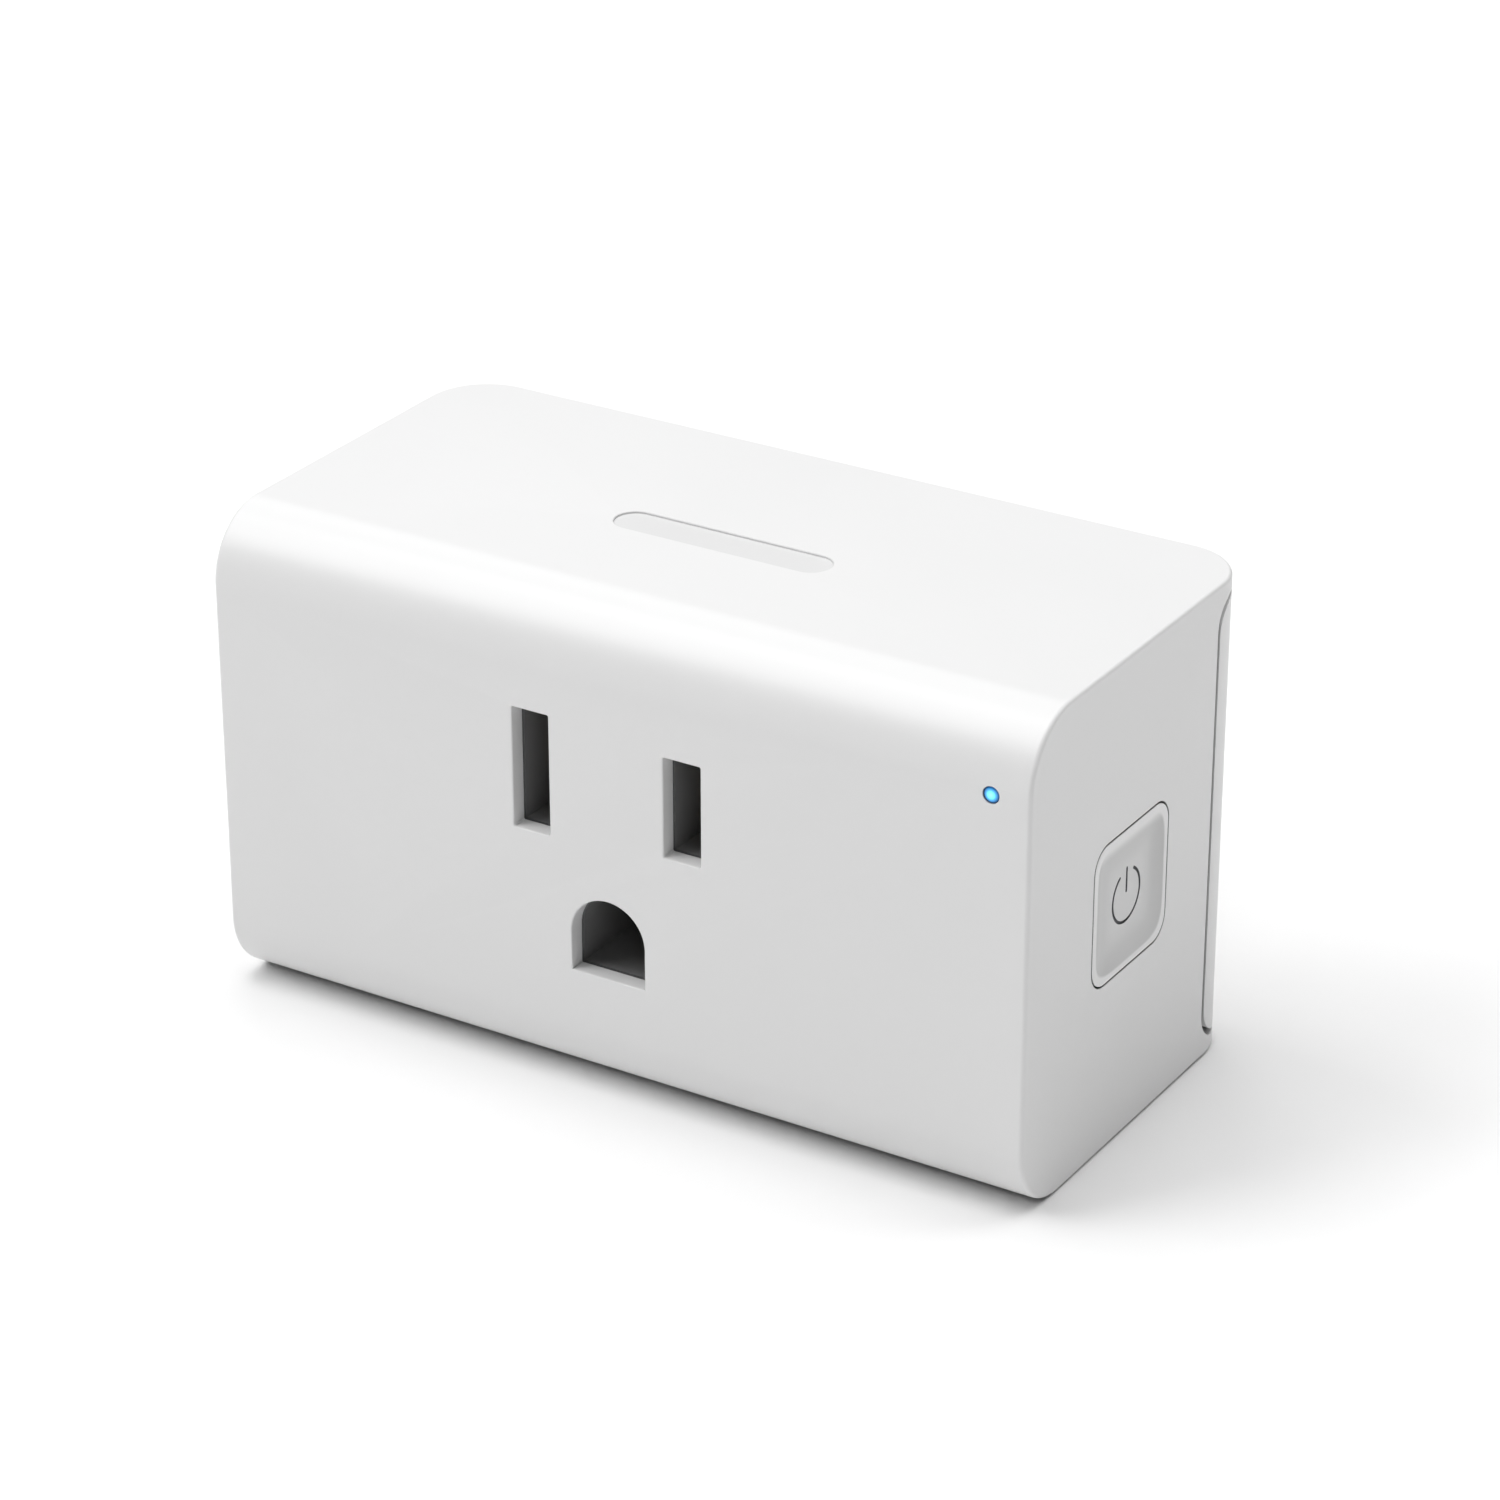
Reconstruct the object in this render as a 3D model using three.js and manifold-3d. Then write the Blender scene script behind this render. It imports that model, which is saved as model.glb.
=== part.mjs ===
// Smart plug: a mains outlet adapter that switches its socket with a relay, in millimetres.
// +X runs along the width, +Y points to the wall, +Z is up.
// The origin is the centre of the flat underside of the casing.
import * as THREE from 'three';
import { mergeVertices } from 'three/addons/utils/BufferGeometryUtils.js';
import Module from 'manifold-3d';

const wasm = await Module();
wasm.setup();

// ---------- Driving dimensions ----------

// Casing
const casing = { width: 68, depth: 33, height: 38.2, frontRadius: 5.4, cornerRadius: 4.9, edge: 0.5 };
const endX = casing.width / 2;
const frontY = -casing.depth / 2;
const backY = casing.depth / 2;
const wall = 2;
const socketWall = 1.35;
const clearance = 0.3;

// Back cover: a tray whose ends wrap round the rear corners of the casing
const seam = { y: 11, gap: 0.4, rim: 1.4, radius: 2.4 };
const coverInnerY = 14.3;
const coverWall = 1.4;
const coverEndWall = 3.4;
const tongue = { thickness: 1.1, frontY: 8.5, bottomZ: 3.1, topZ: 35.1 };

// Socket and plug, North American 15 A pattern
const bladeSpacing = 12.7;
const bladeZ = 24.76;
const groundDrop = 11.9;
const groundZ = bladeZ - groundDrop;
const slot = { width: 3.1, neutralHeight: 9.5, lineHeight: 7.85 };
const groundSlot = { radius: 3.1, flatDrop: 3.15 };
const blade = { thickness: 1.52, height: 6.35, length: 17, tip: 1, hole: 1.98, holeFromFace: 11.9 };
const groundPin = { radius: 2.375, length: 20.6, collar: 3.7 };
const plugFit = 0.12;

// Contact block behind the socket
const block = { halfX: 10.3, frontY: frontY + socketWall + clearance, backY: 3, bottomZ: 7.5, topZ: 31.2 };
const retainer = { frontY: block.backY + clearance, thickness: 1.5 };
const leaf = { thickness: 0.5, frontY: -11, backY: 2, height: 7.1 };
const earthLeaf = { thickness: 0.5, frontY: -7.9, backY: 2.5, grip: 2.2, bridgeZ: groundZ + 2.3 };
const strap = { halfX: 1.9, thickness: 0.6, backY: 10.8 };

// Screws: cover screws at the four corners, retainer screws on the middle line
const coverScrew = { x: 27.6, lowZ: 6, highZ: 32.2, seatY: 13.5, shaft: 1.1, head: 2.15, headHeight: 1.6, length: 10 };
const boss = { radius: 2.3, frontY: -4, backY: 10.6, coverRadius: 3.5, coverFrontY: 10.9 };
const retainerScrew = { lowZ: 21, highZ: 28.8, shaft: 1, head: 1.8, headHeight: 1, length: 7.5 };

// Power button on the right-hand end
const button = { y: -1.4, z: 19.17, size: 10.94, radius: 1.8, gap: 0.13, dish: 0.43, dishSize: 10, dishSlope: 1.4 };
const icon = { radius: 2.05, line: 0.26, openingDegrees: 62, barTop: 2.25, barBottom: 0.35, depth: 0.15 };

// Circuit boards: the power board stands behind the contacts, the control board faces the right-hand end
const powerBoard = { frontY: 6, thickness: 1.6, halfX: 30, halfNarrowX: 24.9, bottomZ: 3.5, topZ: 34.7, notch: 5.7 };
const powerBoardBackY = powerBoard.frontY + powerBoard.thickness;
const controlBoard = { x: 24, thickness: 1, frontY: -13, backY: 5.7, bottomZ: 3, topZ: 35.2 };
const controlFace = controlBoard.x + controlBoard.thickness;

// Tact switch under the power button, 6 mm square
const tact = { size: 6, bodyHeight: 3.2, coverThickness: 0.3, plungerRadius: 1.7, plungerRise: 1 };
const tactTop = controlFace + tact.bodyHeight + tact.coverThickness;
const plungerTip = tactTop + tact.plungerRise;
const buttonPlungerGap = 0.3;

// Indicator: a light pipe in the front face with a small lamp behind it
const indicator = { x: 30.9, z: 32.57, tipRadius: 0.6, bodyRadius: 0.8, pipeBackY: -11, lampBackY: -7.6 };

// Relay on the power board, beside the contact block
const relay = { minX: 10.6, maxX: 20.8, minZ: 8, maxZ: 28.5, frontY: -9.7, baseThickness: 1.5, caseWall: 0.6 };
const relayX = (relay.minX + relay.maxX) / 2;
const relayBaseY = powerBoard.frontY - relay.baseThickness;
const coil = { y: -4.5, radius: 3.75, bottomZ: 10.5, topZ: 20.5, flange: 8.4, flangeThickness: 1, core: 1.5 };
const yoke = { width: 6, thickness: 1.2, footZ: 8.9, legY: 0.8, tipZ: 22.5, poleZ: 22 };
const hinge = { y: 1.4, z: 22.9 };
const relayContact = { z: 25.6, radius: 1, opening: 0.4 };
const relayPinPlaces = [[relayX, relay.maxZ - 1.45], [relayX, relay.minZ + 2.6]];

// ---------- Solids ----------

const xAxis = new THREE.Vector3(1, 0, 0);
const yAxis = new THREE.Vector3(0, 1, 0);
const zAxis = new THREE.Vector3(0, 0, 1);
// A shape drawn in (y, z), (x, z) or (x, y) and pushed along the axis of that name
const pushFrames = {
  x: new THREE.Matrix4().makeBasis(yAxis, zAxis, xAxis),
  y: new THREE.Matrix4().makeBasis(xAxis, zAxis, yAxis.clone().negate()),
  z: new THREE.Matrix4(),
};

function toSolid(geometry) {
  geometry.deleteAttribute('normal');
  geometry.deleteAttribute('uv');
  const merged = mergeVertices(geometry);
  const mesh = new wasm.Mesh({
    numProp: 3,
    vertProperties: merged.attributes.position.array,
    triVerts: new Uint32Array(merged.index.array),
  });
  return new wasm.Manifold(mesh);
}

function toGeometry(solid) {
  const mesh = solid.getMesh();
  const geometry = new THREE.BufferGeometry();
  geometry.setAttribute('position', new THREE.BufferAttribute(mesh.vertProperties, 3));
  geometry.setIndex(new THREE.BufferAttribute(mesh.triVerts, 1));
  geometry.computeVertexNormals();
  return geometry;
}

const join = (first, ...others) => others.reduce((solid, other) => solid.add(other), first);
const cut = (first, ...others) => others.reduce((solid, other) => solid.subtract(other), first);

function box([x0, x1], [y0, y1], [z0, z1]) {
  const geometry = new THREE.BoxGeometry(x1 - x0, y1 - y0, z1 - z0);
  return toSolid(geometry.translate((x0 + x1) / 2, (y0 + y1) / 2, (z0 + z1) / 2));
}

// A shape pushed along an axis between two places on it
function push(axis, shape, [from, to], curveSegments = 8) {
  const geometry = new THREE.ExtrudeGeometry(shape, { depth: to - from, bevelEnabled: false, curveSegments });
  geometry.translate(0, 0, axis === 'y' ? -to : from);
  return toSolid(geometry.applyMatrix4(pushFrames[axis]));
}

// A rod along an axis; centre gives its other two coordinates in x, y, z order
function rod(axis, [u, v], radius, [from, to], segments = 20, endRadius = radius) {
  const geometry = new THREE.CylinderGeometry(endRadius, radius, to - from, segments);
  geometry.translate(0, (from + to) / 2, 0);
  if (axis === 'x') geometry.rotateZ(-Math.PI / 2).translate(0, u, v);
  if (axis === 'y') geometry.translate(u, 0, v);
  if (axis === 'z') geometry.rotateX(Math.PI / 2).translate(u, v, 0);
  return toSolid(geometry);
}

// A body turned about the Y direction through (x, z), from [radius, y] points that start and end on the axis
function turned([x, z], profile, segments = 24) {
  const points = profile.map(([radius, y]) => new THREE.Vector2(radius, y));
  return toSolid(new THREE.LatheGeometry(points, segments).translate(x, 0, z));
}

function polygon(points) {
  return new THREE.Shape(points.map(([u, v]) => new THREE.Vector2(u, v)));
}

// A rectangle with its own radius at each corner, anticlockwise from the lower left one
function rounded([u0, u1], [v0, v1], radii) {
  const [r0, r1, r2, r3] = Array.isArray(radii) ? radii : [radii, radii, radii, radii];
  const shape = new THREE.Shape();
  shape.moveTo(u0 + r0, v0);
  shape.lineTo(u1 - r1, v0);
  if (r1 > 0) shape.absarc(u1 - r1, v0 + r1, r1, -Math.PI / 2, 0);
  shape.lineTo(u1, v1 - r2);
  if (r2 > 0) shape.absarc(u1 - r2, v1 - r2, r2, 0, Math.PI / 2);
  shape.lineTo(u0 + r3, v1);
  if (r3 > 0) shape.absarc(u0 + r3, v1 - r3, r3, Math.PI / 2, Math.PI);
  shape.lineTo(u0, v0 + r0);
  if (r0 > 0) shape.absarc(u0 + r0, v0 + r0, r0, Math.PI, 1.5 * Math.PI);
  return shape;
}

const around = (centre, size) => [centre - size / 2, centre + size / 2];

// ---------- Finishes ----------

const finish = (color, roughness, metalness = 0) => new THREE.MeshStandardMaterial({ color, roughness, metalness });
const finishes = {
  casing: finish(0xeeeeee, 0.45),
  button: finish(0xe4e4e4, 0.45),
  contactPlastic: finish(0x303030, 0.6),
  blackPlastic: finish(0x1c1c1e, 0.5),
  relayPlastic: finish(0x2a4f86, 0.45),
  lens: finish(0xd8f2ff, 0.15),
  brass: finish(0xc9a24e, 0.32, 1),
  nickel: finish(0xc8c6c0, 0.28, 1),
  steel: finish(0xb4b7ba, 0.35, 1),
  copper: finish(0xb46a3c, 0.35, 1),
  board: finish(0x1f6b3c, 0.5),
  moduleBoard: finish(0x16315c, 0.5),
  aluminium: finish(0xd0d3d6, 0.35, 1),
  capacitorFilm: finish(0xd8b23a, 0.5),
  varistor: finish(0x2d5ea8, 0.55),
  ceramic: finish(0x6f8f63, 0.7),
  ferrite: finish(0x3a3a3c, 0.7),
};

const group = new THREE.Group();

function addPart(name, solid, material) {
  const mesh = new THREE.Mesh(toGeometry(solid), material);
  mesh.name = name;
  group.add(mesh);
}

// ---------- Casing ----------

const cornerScrews = [
  [-coverScrew.x, coverScrew.lowZ],
  [coverScrew.x, coverScrew.lowZ],
  [-coverScrew.x, coverScrew.highZ],
  [coverScrew.x, coverScrew.highZ],
];

// The whole casing before it is split: rounded in profile at the front, rounded in plan at the back
function casingEnvelope() {
  const { height, frontRadius, cornerRadius, edge } = casing;
  const side = rounded([frontY, backY], [0, height], [frontRadius, edge, edge, frontRadius]);
  const plan = rounded([-endX, endX], [frontY, backY], [edge, edge, cornerRadius, cornerRadius]);
  const face = rounded([-endX, endX], [0, height], edge);
  return push('x', side, [-endX, endX])
    .intersect(push('z', plan, [0, height]))
    .intersect(push('y', face, [frontY, backY], 4));
}

// The room that the back cover takes, grown by half of the seam's gap for the shell
function coverRoom(growth) {
  const { y, rim, radius } = seam;
  const outline = rounded([y - growth, backY + 5], [rim - growth, casing.height - rim + growth], [
    radius, 0, 0, radius,
  ]);
  return push('x', outline, [-endX - 1, endX + 1]);
}

// The three holes of the socket, drawn in (x, z) and pushed between two depths
function socketHoles(range, growth = 0) {
  const bladeHole = (x, height) => box(around(x, slot.width + growth), range, around(bladeZ, height + growth));
  const ground = new THREE.Shape();
  ground.moveTo(-groundSlot.radius, groundZ - groundSlot.flatDrop);
  ground.lineTo(groundSlot.radius, groundZ - groundSlot.flatDrop);
  ground.lineTo(groundSlot.radius, groundZ);
  ground.absarc(0, groundZ, groundSlot.radius, 0, Math.PI);
  return [
    bladeHole(-bladeSpacing / 2, slot.neutralHeight),
    bladeHole(bladeSpacing / 2, slot.lineHeight),
    push('y', ground, range, 10),
  ];
}

// A screw boss with two ribs that tie it to the end wall and to the nearest long wall
function shellBoss([x, z]) {
  const side = Math.sign(x);
  const outerX = side * (endX - wall / 2);
  const wallZ = z > casing.height / 2 ? casing.height - wall / 2 : wall / 2;
  const ribEndY = tongue.frontY - clearance;
  const span = (a, b) => [Math.min(a, b), Math.max(a, b)];
  return join(
    rod('y', [x, z], boss.radius, [boss.frontY, boss.backY]),
    box(span(x, outerX), [boss.frontY, ribEndY], around(z, 1.2)),
    box(around(x, 1.2), [boss.frontY, ribEndY], span(z, wallZ)),
  );
}

// Two pairs of ribs, on the floor and on the roof, that the control board slides between
function boardGuides() {
  const ribs = [];
  for (const x of [controlBoard.x - clearance - 1, controlFace + clearance]) {
    for (const z of [[wall / 2, 4.6], [33.6, casing.height - wall / 2]]) {
      ribs.push(box([x, x + 1], [-12, 5], z));
    }
  }
  return ribs;
}

function frontShell() {
  const innerRadius = casing.frontRadius - wall;
  const cavityOutline = rounded([frontY + wall, backY + 1], [wall, casing.height - wall], [
    innerRadius, 0, 0, innerRadius,
  ]);
  const cavity = push('x', cavityOutline, [-endX + wall, endX - wall]);
  const blockPocket = box(
    around(0, 2 * block.halfX + 1),
    [frontY + socketWall, frontY + wall + 0.5],
    [block.bottomZ - 0.5, block.topZ + 0.5],
  );
  const hollow = cut(casingEnvelope(), coverRoom(seam.gap / 2), cavity, blockPocket);
  const fitted = join(hollow, ...cornerScrews.map(shellBoss), ...boardGuides());
  const buttonHoleSize = button.size + 2 * button.gap;
  const buttonHole = push(
    'x',
    rounded(around(button.y, buttonHoleSize), around(button.z, buttonHoleSize), button.radius + button.gap),
    [endX - wall - 1, endX + 1],
  );
  const pilots = cornerScrews.map((place) => rod('y', place, coverScrew.shaft + 0.2, [1, boss.backY + 1], 12));
  const pipeHole = rod('y', [indicator.x, indicator.z], indicator.tipRadius + 0.05, [frontY - 1, frontY + 3]);
  const pipeSeat = rod('y', [indicator.x, indicator.z], indicator.bodyRadius + 0.1, [frontY + 1, frontY + 3]);
  return cut(fitted, ...socketHoles([frontY - 1, frontY + 3]), buttonHole, ...pilots, pipeHole, pipeSeat);
}

function backCover() {
  const inside = box([-endX + coverEndWall, endX - coverEndWall], [0, coverInnerY], [
    seam.rim + coverWall, casing.height - seam.rim - coverWall,
  ]);
  const tray = cut(casingEnvelope().intersect(coverRoom(-seam.gap / 2)), inside);
  const tongues = [-1, 1].map((side) => {
    const innerX = side * (endX - coverEndWall);
    const outerX = innerX + side * tongue.thickness;
    return box([Math.min(innerX, outerX), Math.max(innerX, outerX)], [tongue.frontY, seam.y + 1], [
      tongue.bottomZ, tongue.topZ,
    ]);
  });
  const seats = cornerScrews.map((place) => rod('y', place, boss.coverRadius, [boss.coverFrontY, coverInnerY + 1]));
  const screwHoles = cornerScrews.flatMap((place) => [
    rod('y', place, coverScrew.shaft + 0.2, [boss.coverFrontY - 1, backY], 12),
    rod('y', place, coverScrew.head + 0.3, [coverScrew.seatY, backY + 1]),
  ]);
  const plugHoles = [-1, 1].map((side) => box(
    around(side * bladeSpacing / 2, blade.thickness + 2 * plugFit),
    [coverInnerY - 1, backY + 1],
    around(bladeZ, blade.height + 2 * plugFit),
  ));
  const pinHole = rod('y', [0, groundZ], groundPin.radius + plugFit, [coverInnerY - 1, backY + 1], 28);
  return cut(join(tray, ...tongues, ...seats), ...screwHoles, ...plugHoles, pinHole);
}

// ---------- Button, switch and indicator ----------

// The power mark: a broken ring with an upright bar, drawn in (y, z) round the button's centre
function powerMark(range) {
  const { radius, line, openingDegrees, barTop, barBottom } = icon;
  const half = THREE.MathUtils.degToRad(openingDegrees / 2);
  const [start, end] = [Math.PI / 2 + half, Math.PI / 2 - half + 2 * Math.PI];
  const ring = new THREE.Shape();
  ring.absarc(button.y, button.z, radius + line / 2, start, end, false);
  ring.absarc(button.y, button.z, radius - line / 2, end, start, true);
  const bar = rounded(around(button.y, line), [button.z + barBottom, button.z + barTop], line / 2 - 0.01);
  return [push('x', ring, range, 14), push('x', bar, range, 3)];
}

// A cap with a shallow dish, a wider flange that the end wall holds in, and a post for the switch
function powerButton() {
  const { y, z, size, radius, dish, dishSize, dishSlope } = button;
  const flangeX = endX - wall - clearance;
  const cap = push('x', rounded(around(y, size), around(z, size), radius), [flangeX - 1, endX], 6);
  const flange = push('x', rounded(around(y, size + 2.4), around(z, size + 2.4), radius), [flangeX - 1, flangeX], 6);
  const post = rod('x', [y, z], 1.6, [plungerTip + buttonPlungerGap, flangeX - 0.5], 16);
  const floorSize = dishSize - 2 * dishSlope;
  const bowl = new THREE.ExtrudeGeometry(rounded(around(y, floorSize), around(z, floorSize), 0.4), {
    depth: 1, curveSegments: 3, bevelThickness: dish, bevelSize: dishSlope, bevelSegments: 3,
  });
  bowl.translate(0, 0, endX).applyMatrix4(pushFrames.x);
  return cut(join(cap, flange, post), toSolid(bowl), ...powerMark([endX - dish - icon.depth, endX + 1]));
}

function switchBody() {
  const base = box([controlFace, controlFace + tact.bodyHeight], around(button.y, tact.size), around(button.z, tact.size));
  const well = rod('x', [button.y, button.z], 2.4, [controlFace + 0.9, controlFace + tact.bodyHeight + 1], 20);
  return cut(base, well);
}

function switchCover() {
  const plate = box([tactTop - tact.coverThickness, tactTop], around(button.y, tact.size), around(button.z, tact.size));
  return cut(plate, rod('x', [button.y, button.z], tact.plungerRadius + 0.2, [tactTop - 1, tactTop + 1], 20));
}

// The snap dome is a thin curved disc on the floor of the switch's well
function switchDome() {
  const floorX = controlFace + 0.9;
  const outline = [[2.1, 0], [1.5, 0.35], [0, 0.55]];
  const underside = [[0, 0.45], [1.45, 0.25], [1.95, 0]];
  const points = [...underside, ...outline].map(([radius, rise]) => new THREE.Vector2(radius, rise));
  const geometry = new THREE.LatheGeometry(points, 16);
  return toSolid(geometry.rotateZ(-Math.PI / 2).translate(floorX, button.y, button.z));
}

function switchPlunger() {
  const collarTop = tactTop - tact.coverThickness - clearance;
  return join(
    rod('x', [button.y, button.z], tact.plungerRadius, [collarTop - 0.5, plungerTip], 20),
    rod('x', [button.y, button.z], 2.2, [collarTop - 0.8, collarTop], 20),
  );
}

function lightPipe() {
  const { x, z, tipRadius, bodyRadius, pipeBackY } = indicator;
  return turned([x, z], [
    [0, frontY + 0.05],
    [tipRadius * 0.8, frontY + 0.08],
    [tipRadius, frontY + 0.25],
    [tipRadius, frontY + 1.1],
    [bodyRadius, frontY + 1.1],
    [bodyRadius, pipeBackY],
    [0, pipeBackY],
  ], 20);
}

// A small round lamp with its two legs bent down to the control board
function indicatorLed() {
  const { x, z, bodyRadius, pipeBackY, lampBackY } = indicator;
  const lampFrontY = pipeBackY + clearance;
  const lamp = turned([x, z], [
    [0, lampFrontY],
    [bodyRadius * 0.7, lampFrontY + 0.25],
    [bodyRadius, lampFrontY + 0.8],
    [bodyRadius, lampBackY],
    [0, lampBackY],
  ], 16);
  const legs = [-0.4, 0.4].flatMap((offset) => [
    box(around(x, 0.3), [lampBackY - 0.1, lampBackY + 0.8], around(z + offset, 0.3)),
    box([controlFace, x + 0.15], [lampBackY + 0.5, lampBackY + 0.8], around(z + offset, 0.3)),
  ]);
  return join(lamp, ...legs);
}

// ---------- Contacts, blades and earth path ----------

function receptacleBlock() {
  const { halfX, frontY: front, backY: back, bottomZ, topZ } = block;
  const body = box([-halfX, halfX], [front, back], [bottomZ, topZ]);
  const pockets = [-1, 1].map((side) => box(
    around(side * bladeSpacing / 2, 4.4),
    [leaf.frontY - 0.6, back + 1],
    around(bladeZ, slot.neutralHeight + 0.2),
  ));
  const earthPocket = box([-3.3, 3.3], [earthLeaf.frontY - 0.6, back + 1], [groundZ - 3.2, groundZ + 3.7]);
  const screwHoles = [retainerScrew.lowZ, retainerScrew.highZ].map((z) => (
    rod('y', [0, z], retainerScrew.shaft + 0.2, [back - retainerScrew.length, back + 1], 12)
  ));
  return cut(body, ...socketHoles([front - 1, earthLeaf.frontY]), ...pockets, earthPocket, ...screwHoles);
}

function contactRetainer() {
  const { halfX, bottomZ, topZ } = block;
  const plate = box([-halfX, halfX], [retainer.frontY, retainer.frontY + retainer.thickness], [bottomZ, topZ]);
  const through = [retainer.frontY - 1, retainer.frontY + retainer.thickness + 1];
  const windows = [-1, 1].map((side) => box(around(side * 7.1, 2.8), through, [22.3, 28.8]));
  const earthWindow = box([-3.2, 3.2], through, [groundZ - 2.9, groundZ + 3.9]);
  const screwHoles = [retainerScrew.lowZ, retainerScrew.highZ].map((z) => (
    rod('y', [0, z], retainerScrew.shaft + 0.2, through, 12)
  ));
  return cut(plate, ...windows, earthWindow, ...screwHoles);
}

// Two sprung leaves joined at the back, flared at the mouth and pinched where they grip a blade
function contactFork(side) {
  const x = side * bladeSpacing / 2;
  const { thickness, frontY: front, backY: back, height } = leaf;
  const outer = [[1.75, front], [1.1, front + 3.5], [1.5, front + 9], [1.5, back]];
  const inner = outer.map(([offset, y]) => [offset - thickness, y]);
  inner[3] = [inner[3][0], back - thickness];
  const right = [...outer].map(([offset, y]) => [x + offset, y]);
  const left = [...outer].reverse().map(([offset, y]) => [x - offset, y]);
  const innerLeft = [...inner].map(([offset, y]) => [x - offset, y]);
  const innerRight = [...inner].reverse().map(([offset, y]) => [x + offset, y]);
  return push('z', polygon([...right, ...left, ...innerLeft, ...innerRight]), around(bladeZ, height));
}

// The neutral contact runs straight through to its blade; its tail lies flat against the blade
function neutralContact() {
  const bladeSide = -bladeSpacing / 2 - blade.thickness / 2;
  return join(contactFork(-1), box([bladeSide - 0.5, bladeSide], [1, 11.2], [22.8, 26.7]));
}

// The line contact ends at the power board, because the relay stands between it and the line blade
function lineContact() {
  const bladeSide = bladeSpacing / 2 + blade.thickness / 2;
  return join(contactFork(1), box([bladeSide, bladeSide + 0.5], [1, powerBoardBackY + 1], [27, 28.3]));
}

// A flat blade with a chamfered tip, a hole, shoulders behind the cover and a narrow tail
function plugBlade(side, tailY) {
  const half = blade.height / 2;
  const tipY = backY + blade.length;
  const shoulder = half + 1.4;
  const tail = 1.9;
  const upper = [[tipY - blade.tip, half], [tipY, half - blade.tip]];
  const outline = polygon([
    [tailY, bladeZ - tail], [11.6, bladeZ - tail], [11.6, bladeZ - shoulder], [14, bladeZ - shoulder],
    [14, bladeZ - half], [tipY - blade.tip, bladeZ - half], [tipY, bladeZ - half + blade.tip],
    ...upper.reverse().map(([y, z]) => [y, bladeZ + z]),
    [14, bladeZ + half], [14, bladeZ + shoulder], [11.6, bladeZ + shoulder], [11.6, bladeZ + tail],
    [tailY, bladeZ + tail],
  ]);
  const x = side * bladeSpacing / 2;
  const plate = push('x', outline, around(x, blade.thickness));
  return cut(plate, rod('x', [backY + blade.holeFromFace, bladeZ], blade.hole, around(x, 3), 24));
}

function earthPin() {
  const { radius, length, collar } = groundPin;
  const tipY = backY + length;
  return turned([0, groundZ], [
    [0, 10.9], [1.5, 10.9], [1.5, 11.8], [collar, 11.8], [collar, 14], [radius, 14],
    [radius, tipY - 1.9], [radius * 0.87, tipY - 0.85], [radius * 0.5, tipY - 0.2], [0, tipY],
  ], 28);
}

// The earth contact grips the pin between two leaves under a bridge, and its tail runs back
function groundContact() {
  const { thickness, frontY: front, backY: back, grip, bridgeZ } = earthLeaf;
  const inner = [[grip + 0.7, front], [grip, front + 2.7], [grip + 0.1, front + 6.9], [grip + 0.1, back]];
  const outer = inner.map(([offset, y]) => [offset + thickness, y]).reverse();
  outer[outer.length - 1] = [grip + 1, front + 0.2];
  const leaves = [-1, 1].map((side) => {
    const points = [...inner, ...outer].map(([offset, y]) => [side * offset, y]);
    return push('z', polygon(side > 0 ? points : points.reverse()), [groundZ - 2.2, bridgeZ + 0.1]);
  });
  const bridgeHalf = grip + 0.1 + thickness;
  const bridge = box([-bridgeHalf, bridgeHalf], [-3, back], [bridgeZ, bridgeZ + thickness]);
  const tail = box([-strap.halfX, strap.halfX], [back - 0.5, 5.4], [bridgeZ, bridgeZ + thickness]);
  return join(...leaves, bridge, tail);
}

// The strap lies on the contact's tail and turns down behind it to meet the root of the earth pin
function groundStrap() {
  const lowZ = earthLeaf.bridgeZ + earthLeaf.thickness;
  const topZ = lowZ + strap.thickness;
  const [faceY, pinRootY] = [strap.backY - strap.thickness, strap.backY];
  const runBack = box([-strap.halfX, strap.halfX], [0.5, pinRootY], [lowZ, topZ]);
  const face = box([-3, 3], [faceY, pinRootY], [groundZ - 3, topZ]);
  return join(runBack, cut(face, rod('y', [0, groundZ], 1, [faceY - 1, pinRootY + 1], 16)));
}

// ---------- Boards and electronics ----------

function powerBoardPlate() {
  const { frontY: front, halfX, halfNarrowX, bottomZ, topZ, notch } = powerBoard;
  const through = [front - 1, powerBoardBackY + 1];
  const outline = polygon([
    [-halfNarrowX, bottomZ], [halfNarrowX, bottomZ], [halfNarrowX, bottomZ + notch], [halfX, bottomZ + notch],
    [halfX, topZ - notch], [halfNarrowX, topZ - notch], [halfNarrowX, topZ], [-halfNarrowX, topZ],
    [-halfNarrowX, topZ - notch], [-halfX, topZ - notch], [-halfX, bottomZ + notch],
    [-halfNarrowX, bottomZ + notch],
  ]);
  const plate = push('y', outline, [front, powerBoardBackY]);
  const relayPins = relayPinPlaces.map(([x, z]) => box(around(x, 3), through, around(z, 3.4)));
  return cut(
    plate,
    box([-8.2, -5.2], through, [22.3, 27.2]),
    box([5.2, 8.2], through, [22.3, 28.8]),
    box([-3.2, 3.2], through, [groundZ + 2, groundZ + 3.9]),
    ...relayPins,
  );
}

function controlBoardPlate() {
  const { x, frontY: front, backY: back, bottomZ, topZ } = controlBoard;
  return box([x, controlFace], [front, back], [bottomZ, topZ]);
}

// Five pins through a plastic strip, bent from the control board into the power board
function boardHeader() {
  const strip = box([controlFace, controlFace + 2.2], [2.6, 5], [11, 23.8]);
  const pins = [0, 1, 2, 3, 4].map((index) => {
    const z = 12.4 + index * 2.5;
    return box(around(controlFace + 1.1, 0.6), [4.5, powerBoard.frontY], around(z, 0.6));
  });
  return join(strip, ...pins);
}

function wifiBoard() {
  return box([controlBoard.x - 0.8, controlBoard.x], [-12, 5.3], [5, 20]);
}

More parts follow.
